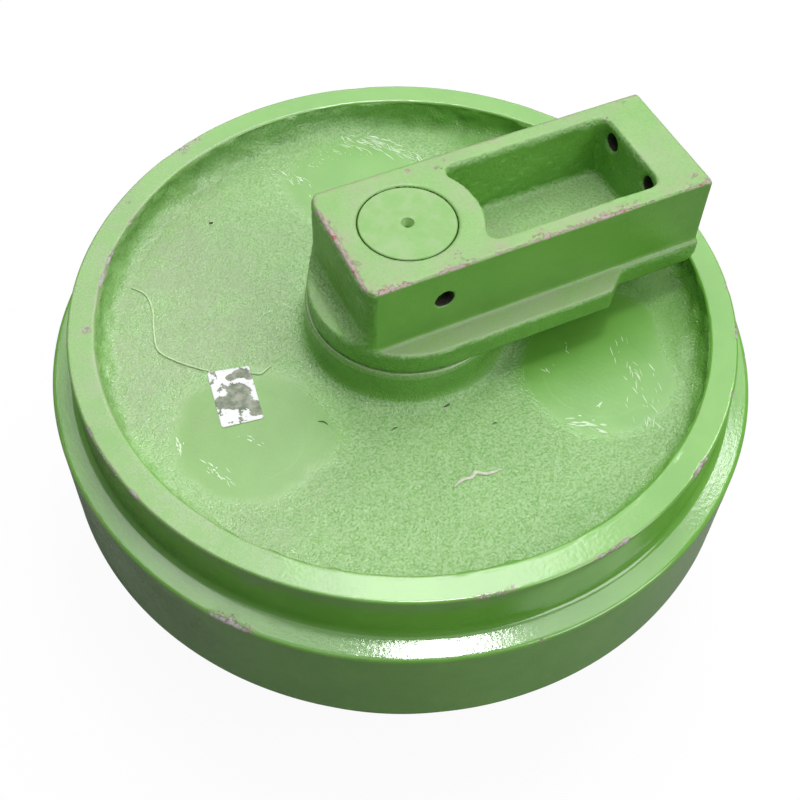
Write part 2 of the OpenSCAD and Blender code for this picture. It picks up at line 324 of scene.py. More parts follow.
    def bump(self, height: bpy.types.NodeSocket, depth: float, strength: object = 1.0,
             below: bpy.types.NodeSocket | None = None) -> bpy.types.NodeSocket:
        """Bumps the normal.

        Args:
            height: Height from 0 to 1.
            depth: Height of a full step in millimetres.
            strength: Share of the bump.
            below: Normal of a bump under this one.

        Returns:
            The normal's socket.
        """
        node = self.tree.nodes.new("ShaderNodeBump")
        node.inputs["Distance"].default_value = depth * MM
        self.feed(node.inputs["Strength"], strength)
        self.link(height, node.inputs["Height"])
        if below is not None:
            self.link(below, node.inputs["Normal"])
        return node.outputs["Normal"]

    def finish(self, colour: object, roughness: object, normal: bpy.types.NodeSocket | None,
               **constants: float) -> bpy.types.Material:
        """Feeds the shader.

        Args:
            colour: Base colour.
            roughness: Roughness.
            normal: Bumped normal, if any.
            **constants: Other sockets by name, with _ for a space.

        Returns:
            The material.
        """
        self.feed(self.shader.inputs["Base Color"], colour)
        self.feed(self.shader.inputs["Roughness"], roughness)
        if normal is not None:
            self.link(normal, self.shader.inputs["Normal"])
        for name, value in constants.items():
            self.shader.inputs[name.replace("_", " ")].default_value = value
        return self.material


@dataclass(frozen=True)
class PaintFinish:
    """Green machine paint over a casting, with dust, chips to primer and the sand grain under it, and with
    painted shade in the grain's pits and wherever the mesh marks shade, and a painted sheen on the grain's
    crests.
    """

    name: str
    colour: Colour = (0.178, 0.452, 0.061)
    shade: Colour = (0.146, 0.402, 0.047)
    aged: Colour = (0.115, 0.280, 0.010)
    # The next two colours paint light into the sand grain: painted shade in its pits and a painted sheen on
    # its crests.
    sand_pit_shade: Colour = (0.060, 0.200, 0.020)
    crest_sheen: Colour = (0.500, 0.730, 0.385)
    dust: Colour = (0.315, 0.385, 0.215)
    # Darkens real dirt, joint lines and specks, and also painted shade.
    grime_and_shade: Colour = (0.026, 0.026, 0.010)
    primer: Colour = (0.260, 0.170, 0.150)
    flake: Colour = (0.500, 0.460, 0.450)
    rubbed: Colour = (0.390, 0.300, 0.225)
    gloss_roughness: float = 0.13
    cast_roughness: float = 0.14
    dust_roughness: float = 0.50
    filler_roughness: float = 0.36
    bare_roughness: float = 0.7
    sand_size: float = 1.9
    sand_depth: float = 1.8
    ior: float = 1.9
    chip_size: float = 3.2

    def material(self) -> bpy.types.Material:
        """Builds the node material, which reads the attributes cast, dust, wear, grime_and_shade, filler and
        stain.

        Returns:
            The material.
        """
        board = NodeBoard(self.name)
        cast, dust, wear, grime_and_shade = (board.attribute(name) for name in ("cast", "dust", "wear", "grime_and_shade"))
        tone = board.ramp(board.noise(60.0, 3.0, 0.6), 0.3, 0.7)
        paint = board.mix(tone, self.colour, self.shade)
        paint = board.mix(board.attribute("stain"), paint, self.aged)
        speck = board.ramp(board.noise(1.3, 3.0, 0.7), 0.35, 0.75)
        film = board.math("MULTIPLY", dust, board.blend(0.4, board.noise(22.0, 4.0, 0.65), speck))
        film = board.ramp(film, 0.02, 0.62, 0.0, 0.9)
        dust_and_painted_light = board.mix(film, paint, self.dust)
        sand = board.noise(self.sand_size, 2.5, 0.6, 0.3)
        # Painted shade: the sand grain's pits are darkened in the colour.
        pit_shade_share = board.math("MULTIPLY", cast, board.ramp(sand, 0.50, 0.34, 0.0, 0.16))
        dust_and_painted_light = board.mix(pit_shade_share, dust_and_painted_light, self.sand_pit_shade)
        # Painted sheen: where dust lies on cast skin, the sand grain's crests are paled in the colour.
        dust_sheen_share = board.math("MULTIPLY", cast, board.ramp(dust, 0.06, 0.16))
        dust_sheen_share = board.math("MULTIPLY", dust_sheen_share, board.math("SUBTRACT", 1.0, film))
        raised = board.math("MULTIPLY", dust_sheen_share, board.ramp(sand, 0.28, 0.70, 0.08, 0.64))
        dust_and_painted_light = board.mix(raised, dust_and_painted_light, self.crest_sheen)
        pits = board.math("MULTIPLY", cast, board.ramp(board.noise(5.5, 4.0, 0.75, 0.4), 0.32, 0.25))
        mottle = board.math("MULTIPLY", board.math("SUBTRACT", board.noise(9.0, 5.0, 0.7), 0.5), 0.45)
        # Real dirt and painted shade both come in through the attribute read above; the pits add dark specks.
        dirt_and_shade = board.ramp(board.math("ADD", grime_and_shade, mottle), 0.18, 0.95)
        dust_and_painted_light = board.mix(board.math("MAXIMUM", dirt_and_shade, board.math("MULTIPLY", pits, 0.55)), dust_and_painted_light, self.grime_and_shade)
        patches = board.ramp(board.noise(11.0, 4.0, 0.7), 0.32, 0.66)
        rub = board.math("MULTIPLY", board.ramp(wear, 0.16, 0.60, 0.0, 0.85), patches)
        dust_and_painted_light = board.mix(rub, dust_and_painted_light, self.rubbed)
        ragged = board.math("MULTIPLY", board.noise(self.chip_size, 4.0, 0.7, 0.6), 0.9)
        bare = board.ramp(board.math("ADD", wear, ragged), 0.88, 0.94)
        metal = board.ramp(board.noise(6.0, 2.0, 0.6), 0.30, 0.46)
        colour = board.mix(bare, dust_and_painted_light, board.mix(metal, self.primer, self.flake))
        streaks = board.noise(1.6, 3.0, 0.6, 0.0, board.polar(0.05))
        rough = board.blend(cast, self.gloss_roughness, self.cast_roughness)
        uneven = board.blend(cast, streaks, board.noise(9.0, 3.0))
        rough = board.math("ADD", rough, board.math("MULTIPLY", board.math("SUBTRACT", uneven, 0.5), 0.16))
        rough = board.blend(board.attribute("filler"), rough, self.filler_roughness)
        rough = board.blend(film, rough, self.dust_roughness)
        rough = board.blend(board.math("MAXIMUM", bare, dirt_and_shade), rough, self.bare_roughness)
        peel = board.bump(board.noise(3.0, 2.0), 0.10)
        turned = board.bump(streaks, 0.05, 1.0, peel)
        grained = board.bump(sand, self.sand_depth, cast, turned)
        normal = board.bump(bare, -0.35, 1.0, grained)
        return board.finish(colour, rough, normal, IOR=self.ior)


@dataclass(frozen=True)
class TurnedFinish:
    """Metal or paint with the fine rings that turning leaves round the axle."""

    name: str
    colour: Colour
    shade: Colour
    roughness: float
    metallic: float = 0.0
    ring_depth: float = 0.04
    joint_r: float = 0.0
    joint_half: float = 0.25
    joint_colour: Colour = (0.02, 0.03, 0.015)
    ring_scale: float = 260.0

    def material(self) -> bpy.types.Material:
        """Builds the node material, dark beyond the radius of a joint line where one is given.

        Returns:
            The material.
        """
        board = NodeBoard(self.name)
        rings = board.tree.nodes.new("ShaderNodeTexWave")
        rings.wave_type = "RINGS"
        rings.rings_direction = "Z"
        rings.inputs["Scale"].default_value = self.ring_scale
        rings.inputs["Distortion"].default_value = 0.6
        board.link(board.place, rings.inputs["Vector"])
        stain = board.ramp(board.noise(14.0, 4.0, 0.6), 0.32, 0.72)
        colour = board.mix(stain, self.colour, self.shade)
        if self.joint_r:
            split = board.tree.nodes.new("ShaderNodeSeparateXYZ")
            board.link(board.polar(1.0), split.inputs["Vector"])
            edges = (self.joint_r - self.joint_half) * MM, (self.joint_r + self.joint_half) * MM
            colour = board.mix(board.ramp(split.outputs[0], *edges), colour, self.joint_colour)
        rough = board.ramp(board.noise(5.0, 3.0), 0.2, 0.8, self.roughness - 0.07, self.roughness + 0.09)
        fine = board.bump(board.noise(1.6, 3.0, 0.6), 0.10)
        normal = board.bump(rings.outputs["Fac"], self.ring_depth, 1.0, fine)
        return board.finish(colour, rough, normal, Metallic=self.metallic)


@dataclass(frozen=True)
class PlainFinish:
    """A small piece's finish: two tones, a soft grain and one roughness."""

    name: str
    colour: Colour
    shade: Colour
    roughness: float
    grain_size: float = 2.0
    grain_depth: float = 0.08
    metallic: float = 0.0

    def material(self) -> bpy.types.Material:
        """Builds the node material.

        Returns:
            The material.
        """
        board = NodeBoard(self.name)
        tone = board.ramp(board.noise(self.grain_size * 3.0, 4.0, 0.6), 0.35, 0.68)
        rough = board.ramp(board.noise(self.grain_size * 2.0, 2.0), 0.3, 0.7, self.roughness - 0.06,
                           self.roughness + 0.06)
        normal = board.bump(board.noise(self.grain_size, 3.0, 0.6), self.grain_depth)
        return board.finish(board.mix(tone, self.colour, self.shade), rough, normal, Metallic=self.metallic)


CASTING_PAINT = PaintFinish("casting_paint")
COVER_PAINT = PaintFinish("cover_paint", gloss_roughness=0.2, sand_depth=0.7)
BRACKET_PAINT = PaintFinish(
    "bracket_paint", primer=(0.420, 0.140, 0.110), flake=(0.460, 0.360, 0.330), gloss_roughness=0.30,
    cast_roughness=0.34, sand_size=2.4, sand_depth=1.5, ior=1.65)
LABEL_PAPER = PlainFinish("label_paper", (0.86, 0.86, 0.86), (0.80, 0.80, 0.81), 0.5, 3.0, 0.03)
LABEL_FIBRE = PlainFinish("label_fibre", (0.17, 0.21, 0.14), (0.38, 0.39, 0.32), 0.8, 2.2, 0.25)
# Paler than the casting paint over it: a painted highlight on the painted-over thread.
THREAD_SHEEN_PAINT = PlainFinish("thread_sheen_paint", (0.58, 0.72, 0.45), (0.46, 0.64, 0.32), 0.22, 1.0, 0.05)
FLAKE_PAINT = PlainFinish("flake_paint", (0.62, 0.64, 0.50), (0.50, 0.55, 0.38), 0.45, 1.0, 0.08)
FIBRE_DARK = PlainFinish("fibre_dark", (0.045, 0.06, 0.03), (0.09, 0.08, 0.05), 0.7, 0.8, 0.1)
# Raised paint strokes whose pale colour is a painted glint.
STROKE_GLINT_PAINT = PlainFinish("stroke_glint_paint", (0.76, 0.90, 0.67), (0.58, 0.80, 0.47), 0.10, 2.0, 0.02)
INNER_FINISHES = {
    "shaft": TurnedFinish("shaft_paint", (0.215, 0.440, 0.115), (0.290, 0.465, 0.185), 0.34, joint_r=37.15),
    # Dark steel that also paints the shade inside the pin's hole.
    "lock_pin": TurnedFinish("pin_steel", (0.14, 0.15, 0.14), (0.04, 0.045, 0.04), 0.28, 0.9),
    "bush": TurnedFinish("bush_bronze", (0.50, 0.30, 0.10), (0.38, 0.22, 0.08), 0.3, 1.0),
    "seal_ring": TurnedFinish("seal_iron", (0.12, 0.12, 0.13), (0.08, 0.08, 0.085), 0.28, 0.8),
    "toric": PlainFinish("toric_rubber", (0.012, 0.012, 0.013), (0.02, 0.02, 0.02), 0.6),
    "o_ring": PlainFinish("o_ring_rubber", (0.012, 0.012, 0.013), (0.02, 0.02, 0.02), 0.55),
    "oil_plug": TurnedFinish("plug_steel", (0.36, 0.36, 0.35), (0.24, 0.24, 0.22), 0.32, 0.9),
    "plug_washer": PlainFinish("washer_copper", (0.55, 0.25, 0.13), (0.42, 0.18, 0.10), 0.35, 2.0, 0.04, 1.0),
}


@dataclass
class Shell:
    """A mesh in millimetres on its way to becoming a piece."""

    name: str
    verts: np.ndarray
    faces: list
    attributes: dict[str, np.ndarray] = field(default_factory=dict)

    def facing_out(self) -> "Shell":
        """Turns the faces round where they enclose a negative volume.

        Returns:
            The shell itself.
        """
        fans = np.array([(face[0], face[k], face[k + 1])
                         for face in self.faces for k in range(1, len(face) - 1)])
        first, second, third = (self.verts[fans[:, k]] for k in range(3))
        if np.sum(first * np.cross(second, third)) < 0.0:
            self.faces = [face[::-1] for face in self.faces]
        return self

    def mesh(self) -> bpy.types.Mesh:
        """Makes the Blender mesh, smooth shaded and in metres.

        Returns:
            The mesh, with the shell's attributes.
        """
        mesh = bpy.data.meshes.new(self.name)
        mesh.from_pydata((self.verts * MM).tolist(), [], self.faces)
        mesh.polygons.foreach_set("use_smooth", np.ones(len(mesh.polygons), dtype=bool))
        for name, values in self.attributes.items():
            layer = mesh.attributes.new(name, "FLOAT", "POINT")
            layer.data.foreach_set("value", np.asarray(values, dtype=np.float32))
        mesh.update()
        return mesh

    def place(self, body: Body, slot: str, material: bpy.types.Material,
              nodes: Sequence[str] = ()) -> bpy.types.Object:
        """Makes the piece, sets it on its body and reports it.

        Args:
            body: Body that the piece moves with.
            slot: Material slot of the record; not used.
            material: Finish.
            nodes: Nodes that the piece stands for.

        Returns:
            The piece.
        """
        piece = bpy.data.objects.new(self.name, self.mesh())
        bpy.context.scene.collection.objects.link(piece)
        piece.data.materials.append(material)
        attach(piece, body.value)
        if nodes:
            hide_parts(*nodes)
        LOG.info("%s: %d vertices on %s", self.name, len(self.verts), body.value)
        return piece


def tube_shell(name: str, path: np.ndarray, radii: np.ndarray, sides: int = 8) -> Shell:
    """A closed round tube along a path.

    Args:
        name: Name of the piece.
        path: Points of the centre line.
        radii: Radius at each point.
        sides: Sides of the tube.

    Returns:
        The shell.
    """
    along = np.gradient(path, axis=0)
    along /= np.linalg.norm(along, axis=1)[:, None]
    across = np.cross(along, (0.0, 0.0, 1.0))
    across /= np.linalg.norm(across, axis=1)[:, None]
    up = np.cross(across, along)
    turns = np.linspace(0.0, 2.0 * math.pi, sides, endpoint=False)
    rings = (path[:, None] + radii[:, None, None]
             * (np.cos(turns)[None, :, None] * across[:, None] + np.sin(turns)[None, :, None] * up[:, None]))
    count = len(path)
    faces = []
    for i in range(count - 1):
        low, high = i * sides, (i + 1) * sides
        faces += [[low + j, low + (j + 1) % sides, high + (j + 1) % sides, high + j] for j in range(sides)]
    faces += [list(range(sides - 1, -1, -1)), [(count - 1) * sides + j for j in range(sides)]]
    return Shell(name, rings.reshape(-1, 3), faces).facing_out()


def smooth_path(points: Sequence[Point], step: float) -> np.ndarray:
    """Rounds a chain of points into an even curve.

    Args:
        points: Points given.
        step: Spacing of the curve's points.

    Returns:
        The curve's points.
    """
    knots = np.array(points, dtype=float)
    padded = np.vstack([2 * knots[0] - knots[1], knots, 2 * knots[-1] - knots[-2]])
    parts = []
    for k in range(len(knots) - 1):
        before, start, end, after = padded[k:k + 4]
        count = max(2, int(np.linalg.norm(end - start) / step))
        t = np.linspace(0.0, 1.0, count, endpoint=False)[:, None]
        square = 2 * before - 5 * start + 4 * end - after
        cube = 3 * start - before - 3 * end + after
        parts.append(0.5 * (2 * start + (end - before) * t + square * t ** 2 + cube * t ** 3))
    return np.vstack(parts + [knots[-1:]])


@dataclass
class Section:
    """Rings of a turned section, walked from the bore out to the flange."""

    radii: list[float] = field(default_factory=list)
    heights: list[float] = field(default_factory=list)
    skins: list[Skin] = field(default_factory=list)

    def line(self, radius: float, height: float, steps: int, skin: Skin) -> None:
        """Adds rings along a straight line from the last ring.

        Args:
            radius: Radius of the line's end.
            height: Height of the line's end.
            steps: Number of rings.
            skin: Finish of the rings.
        """
        r0, z0 = (self.radii[-1], self.heights[-1]) if self.radii else (radius, height)
        for k in range(1, steps + 1):
            self.radii.append(r0 + (radius - r0) * k / steps)
            self.heights.append(z0 + (height - z0) * k / steps)
            self.skins.append(skin)

    def arc(self, centre: Point, radius: float, start: float, end: float, steps: int, skin: Skin) -> None:
        """Adds rings along an arc, with its angles in degrees from the radius outwards.

        Args:
            centre: Radius and height of the arc's middle.
            radius: Radius of the arc.
            start: Angle before the first ring.
            end: Angle of the last ring.
            steps: Number of rings.
            skin: Finish of the rings.
        """
        for k in range(1, steps + 1):
            turn = math.radians(start + (end - start) * k / steps)
            self.radii.append(centre[0] + radius * math.cos(turn))
            self.heights.append(centre[1] + radius * math.sin(turn))
            self.skins.append(skin)


@dataclass(frozen=True)
class Chip:
    """A chipped stretch of an edge: its middle and half length in degrees, and how bare it is."""

    skin: Skin
    angle: float
    half: float
    bare: float


CHIPS = (
    Chip(Skin.OUTER_EDGE, -170.0, 8.0, 0.46), Chip(Skin.OUTER_EDGE, -176.5, 2.0, 0.56),
    Chip(Skin.OUTER_EDGE, -162.0, 2.5, 0.54), Chip(Skin.OUTER_EDGE, -102.0, 5.0, 0.50),
    Chip(Skin.OUTER_EDGE, -83.0, 4.5, 0.52), Chip(Skin.OUTER_EDGE, -79.5, 1.5, 0.60),
    Chip(Skin.OUTER_EDGE, -60.0, 4.0, 0.58), Chip(Skin.OUTER_EDGE, -44.0, 1.2, 0.52),
    Chip(Skin.OUTER_EDGE, -30.0, 3.0, 0.50), Chip(Skin.OUTER_EDGE, -20.0, 2.0, 0.50),
    Chip(Skin.OUTER_EDGE, 114.0, 4.0, 0.52), Chip(Skin.OUTER_EDGE, 36.0, 4.0, 0.46),
    Chip(Skin.INNER_EDGE, 147.0, 9.0, 0.56), Chip(Skin.INNER_EDGE, 134.0, 2.0, 0.50),
    Chip(Skin.FLANGE_EDGE, -141.0, 5.5, 0.64), Chip(Skin.FLANGE_EDGE, -28.0, 3.0, 0.42),
    Chip(Skin.FLANGE_EDGE, -95.0, 1.2, 0.44), Chip(Skin.FLANGE_EDGE, 60.0, 5.0, 0.50),
    Chip(Skin.OUTER_EDGE, 75.0, 5.0, 0.50), Chip(Skin.FLANGE_EDGE, 172.0, 3.0, 0.46),
)


@dataclass(frozen=True)
class Scuff:
    """A scuffed spot: its radius from the axle, angle in degrees, size and height."""

    radius: float
    angle: float
    size: float
    height: float

    def gap(self, points: np.ndarray) -> np.ndarray:
        """Distance of each point from the spot's middle.

        Args:
            points: Points, one row each.

        Returns:
            One distance for each point.
        """
        turn = math.radians(self.angle)
        middle = np.array((self.radius * math.cos(turn), self.radius * math.sin(turn), self.height))
        return np.linalg.norm(points - middle, axis=1)


SCUFFS = (
    Scuff(260.5, 112.5, 9.0, 95.5), Scuff(262.0, 109.0, 6.0, 95.5), Scuff(257.1, 129.7, 5.0, 95.5),
    Scuff(250.1, 162.0, 6.0, 95.5), Scuff(263.0, -99.0, 4.0, 95.5), Scuff(282.5, -143.0, 5.0, 46.5),
    Scuff(282.0, -140.8, 6.5, 46.5), Scuff(283.0, -138.2, 5.0, 46.5),
)


@dataclass(frozen=True)
class CoverPlan:
    """Where the core covers lie in each web."""

    diameter: float = 100.0
    pitch_radius: float = 161.0
    first_angle: float = 78.0
    count: int = 3
    overlap: float = 8.0
    ragged: float = 8.0
    fade: Point = (-13.0, 8.0)
    smears: tuple[tuple[float, float, float], ...] = (
        (4.0, 176.0, 34.0), (-124.0, -64.0, 36.0), (112.0, -122.0, 44.0), (156.0, -72.0, 36.0),
        (104.0, -74.0, 24.0))

    def centre(self, index: int) -> np.ndarray:
        """The middle of one cover."""
        turn = math.radians(self.first_angle + index * 360.0 / self.count)
        return self.pitch_radius * np.array((math.cos(turn), math.sin(turn)))

    def calm(self, spots: np.ndarray) -> np.ndarray:
        """How far filler smooths the web at each place, from 0 to 1, with a ragged border round each disc.

        Args:
            spots: Places on the web, one row each.

        Returns:
            One share for each place.
        """
        flat = np.column_stack([spots, np.zeros(len(spots))])
        ragged = self.ragged * Grain(71).layered(flat, 40.0, 4, 0.6)
        blobs = [(*self.centre(index), self.diameter / 2 + self.overlap) for index in range(self.count)]
        blobs += self.smears
        reach = np.max([size - np.hypot(spots[:, 0] - x, spots[:, 1] - y) for x, y, size in blobs], axis=0)
        return smooth_step(*self.fade, reach + ragged)


def fallen_dust(points: np.ndarray) -> np.ndarray:
    """Dust on the webs, thicker to the left and on the upper side, and thinner under the yoke end, where less
    dust and so less painted sheen also paint the bracket's shadow.

    Args:
        points: Points, one row each.

    Returns:
        One amount for each point.
    """
    dust = 0.20 + 0.50 * smooth_step(-0.25, 0.75, leftward(points))
    dust *= np.where(points[:, 2] > 0.0, 1.0, 0.5)
    # Partly painted shadow: less dust, and with it less painted sheen, under the bracket's end.
    bracket_shade = smooth_step(105.0, 165.0, points[:, 0]) * smooth_step(-150.0, -85.0, points[:, 1])
    dust *= 1.0 - 0.7 * bracket_shade
    return dust * (1.0 + 0.7 * Grain(61).layered(points, 90.0, 3))


def aged_paint(points: np.ndarray, filler: np.ndarray) -> np.ndarray:
    """How far the paint has darkened, which shows to the left and most on the filler."""
    cloud = 1.0 + 0.6 * Grain(63).layered(points, 40.0, 3, 0.6)
    return np.clip((0.16 + 0.32 * filler) * smooth_step(0.05, 0.45, leftward(points)) * cloud, 0.0, 0.7)


@dataclass
class WheelCasting:
    """The hollow cast wheel, turned from its section and given its sand-cast skin and knocks."""

    covers: CoverPlan
    tread_r: float = 265.0
    flange_r: float = 285.0
    flange_z: float = 46.5
    rim_z: float = 95.5
    rim_in_r: float = DISH_R
    web_z: float = WEB_Z
    hub_r: float = 79.0
    hub_z: float = 104.9
    bore_r: float = 43.58
    oil_r: float = 46.05
    oil_z: float = 28.0
    oil_ring_z: float = 9.0
    seat_z: float = 88.5
    seat_foot_r: float = 62.5
    seat_top: Point = (69.0, 95.97)
    hub_edge_r: float = 2.0
    hub_foot_r: float = 12.0
    dish_r: float = 14.0
    rim_edge_r: float = 2.0
    inner_edge_r: float = 2.5
    foot_r: float = 5.0
    flange_edge_r: float = 2.5
    flange_tilt: float = 9.0
    flange_ring_z: float = 14.0
    worn_width: float = 4.2
    segments: int = 480
    upper_detail: tuple[int, int] = (64, 2)
    lower_detail: tuple[int, int] = (12, 1)
    seed: int = 11
    web_radii: np.ndarray = field(default_factory=lambda: np.zeros(0))
    web_heights: np.ndarray = field(default_factory=lambda: np.zeros((0, 0)))

    def half(self, web_steps: int, fine: int) -> Section:
        """The section above the middle plane.

        Args:
            web_steps: Rings across the web.
            fine: Share of detail of the arcs, 1 or 2.

        Returns:
            The rings from the bore to the flange's side.
        """
        s = Section()
        s.line(self.oil_r, self.oil_ring_z, 1, Skin.HIDDEN)
        s.line(self.oil_r, self.oil_z, 1, Skin.HIDDEN)
        s.line(self.bore_r, self.oil_z + 0.1, 1, Skin.HIDDEN)
        s.line(self.bore_r, self.seat_z, 1, Skin.HIDDEN)
        s.line(self.seat_foot_r, self.seat_z + 0.05, 1, Skin.HIDDEN)
        s.line(*self.seat_top, 1, Skin.HIDDEN)
        s.line(self.seat_top[0], self.hub_z - 0.6, 1, Skin.HIDDEN)
        s.line(self.seat_top[0] + 0.6, self.hub_z, 1, Skin.HIDDEN)
        edge = self.hub_edge_r
        s.line(self.hub_r - edge, self.hub_z, fine, Skin.TURNED)
        s.arc((self.hub_r - edge, self.hub_z - edge), edge, 90, 0, 1 + fine, Skin.TURNED)
        foot = self.hub_foot_r
        s.line(self.hub_r, self.web_z + foot, 3 * fine, Skin.CAST)
        s.arc((self.hub_r + foot, self.web_z + foot), foot, 180, 270, 3 * fine, Skin.CAST)
        dish = self.dish_r
        s.line(self.rim_in_r - dish, self.web_z, web_steps, Skin.CAST)
        s.arc((self.rim_in_r - dish, self.web_z + dish), dish, 270, 360, 4 * fine, Skin.CAST)
        edge = self.inner_edge_r
        s.line(self.rim_in_r, self.rim_z - edge, 2 * fine, Skin.CAST)
        s.arc((self.rim_in_r + edge, self.rim_z - edge), edge, 180, 90, 3 * fine, Skin.INNER_EDGE)
        s.line(self.rim_in_r + edge + 3.0, self.rim_z, fine, Skin.TURNED)
        edge = self.rim_edge_r
        s.line(self.tread_r - edge - 3.5, self.rim_z, 1 + fine, Skin.TURNED)
        s.line(self.tread_r - edge, self.rim_z, 1 + fine, Skin.TURNED)
        s.arc((self.tread_r - edge, self.rim_z - edge), edge, 90, 0, 2 * fine, Skin.OUTER_EDGE)
        s.line(self.tread_r, self.rim_z - edge - 3.5, 1 + fine, Skin.TURNED)
        s.line(self.tread_r, self.flange_z + 2.0 * self.foot_r, 2 * fine, Skin.TURNED)
        edge, tilt = self.flange_edge_r, math.radians(self.flange_tilt)
        end = (self.flange_r - edge + edge * math.sin(tilt), self.flange_z - edge + edge * math.cos(tilt))
        start_r = self.tread_r + self.foot_r * (1.0 - math.sin(tilt))
        start_z = end[1] + (end[0] - start_r) * math.tan(tilt)
        foot = (self.tread_r + self.foot_r, start_z + self.foot_r * math.cos(tilt))
        s.arc(foot, self.foot_r, 180, 270 - self.flange_tilt, 2 * fine, Skin.TURNED)
        s.line(start_r + 1.0, start_z - math.tan(tilt), 1, Skin.TURNED)
        s.line(end[0] - 4.0, end[1] + 4.0 * math.tan(tilt), fine, Skin.TURNED)
        s.line(*end, 1 + fine, Skin.TURNED)
        middle = (self.flange_r - edge, self.flange_z - edge)
        s.arc(middle, edge, 90 - self.flange_tilt, 0, 2 * fine, Skin.FLANGE_EDGE)
        s.line(self.flange_r, self.flange_z - edge - 5.0, 1 + fine, Skin.FLANGE_SIDE)
        s.line(self.flange_r, self.flange_ring_z, 1 + fine, Skin.FLANGE_SIDE)
        return s

    def knobs(self, points: np.ndarray) -> np.ndarray:
        """Height of the rough knobs that the sand mould leaves on the dish's wall.

        Args:
            points: Points, one row each.

        Returns:
            One height for each point, in millimetres.
        """
        radius = np.hypot(points[:, 0], points[:, 1])
        wall = smooth_step(self.rim_in_r - self.dish_r - 6.0, self.rim_in_r - 5.0, radius)
        coarse = 3.0 * Grain(self.seed + 12).at(points, 17.0)
        fine = 2.8 * Grain(self.seed + 13).at(points, 7.5)
        return wall * (coarse + fine)

    def relief(self, points: np.ndarray, cast: np.ndarray) -> np.ndarray:
        """Height of the cast skin over the plain section.

        Args:
            points: Points on the section.
            cast: Share of cast skin at each point.

        Returns:
            One height for each point, in millimetres.
        """
        grain = Grain(self.seed)
        swell = 0.6 * grain.at(points, 55.0) + 0.28 * grain.at(points, 21.0)
        sand = 0.40 * Grain(self.seed + 5).at(points, 5.5) + 0.24 * Grain(self.seed + 6).at(points, 3.7)
        lumps = 1.0 * np.clip(Grain(self.seed + 9).at(points, 12.0) - 0.30, 0.0, 1.0)
        return cast * (swell + sand + lumps + self.knobs(points))

    def build(self, finish: bpy.types.Material) -> bpy.types.Object:
        """Turns, knocks and places the wheel.

        Args:
            finish: Paint.

        Returns:
            The piece.
        """
        upper, lower = self.half(*self.upper_detail), self.half(*self.lower_detail)
        radii = np.array(upper.radii + lower.radii[::-1])
        heights = np.array(upper.heights + [-z for z in lower.heights[::-1]])
        skins = upper.skins + lower.skins[::-1]
        rings, segments = len(radii), self.segments
        turns = np.linspace(0.0, 2.0 * math.pi, segments, endpoint=False)
        verts = np.stack([radii[:, None] * np.cos(turns), radii[:, None] * np.sin(turns),
                          np.repeat(heights[:, None], segments, axis=1)], axis=2)
        tangent = np.stack([np.roll(line, -1) - np.roll(line, 1) for line in (radii, heights)], axis=1)
        tangent /= np.linalg.norm(tangent, axis=1)[:, None]
        normal = np.stack([-tangent[:, 1, None] * np.cos(turns), -tangent[:, 1, None] * np.sin(turns),
                           np.repeat(tangent[:, 0, None], segments, axis=1)], axis=2)
        points, normals = verts.reshape(-1, 3), normal.reshape(-1, 3)
        skin = np.repeat(np.array([s.value for s in skins]), segments)
        angle = np.degrees(np.tile(turns, rings))
        radius = np.repeat(radii, segments)
        cast = np.where(skin == Skin.CAST.value, 1.0, 0.0)
        cast = np.where(skin == Skin.INNER_EDGE.value, 0.03, cast)
        cast = np.where(skin == Skin.FLANGE_SIDE.value, 0.10, cast)
        web = (skin == Skin.CAST.value) & (np.abs(points[:, 2]) < self.web_z + 2.0)
        calm = np.where(web, self.covers.calm(points[:, :2]), 0.0)
        raised = self.relief(points, cast) * (1.0 - calm)
        cast *= 1.0 - 0.95 * calm
        raised += np.where(skin == Skin.INNER_EDGE.value, 0.8 * Grain(31).layered(points, 26.0, 2), 0.0)
        smooth = np.isin(skin, [Skin.TURNED.value, Skin.OUTER_EDGE.value, Skin.FLANGE_EDGE.value,
                                Skin.FLANGE_SIDE.value])
        raised += np.where(smooth & (radius > self.rim_in_r), 0.16 * Grain(37).at(points, 60.0), 0.0)
        for index in range(self.covers.count):
            gap = np.hypot(*(points[:, :2] - self.covers.centre(index)).T)
            inside = smooth_step(self.covers.diameter / 2 - 9.0, self.covers.diameter / 2 - 13.0, gap)
            raised = np.where(web, raised * (1 - inside) - 1.6 * inside, raised)
        wear = self.worn(points, skin, angle, radius)
        raised -= 0.7 * smooth_step(0.30, 0.60, wear) * (0.6 + Grain(43).at(points, 7.0))
        points += normals * raised[:, None]
        self.keep_web(points, upper, segments)
        faces = self.quads(rings, segments)
        shell = Shell("wheel_casting", points, faces, self.skin_maps(points, skin, cast, wear))
        return shell.facing_out().place(Body.WHEEL, "wheel_paint", finish, ["idler_wheel"])

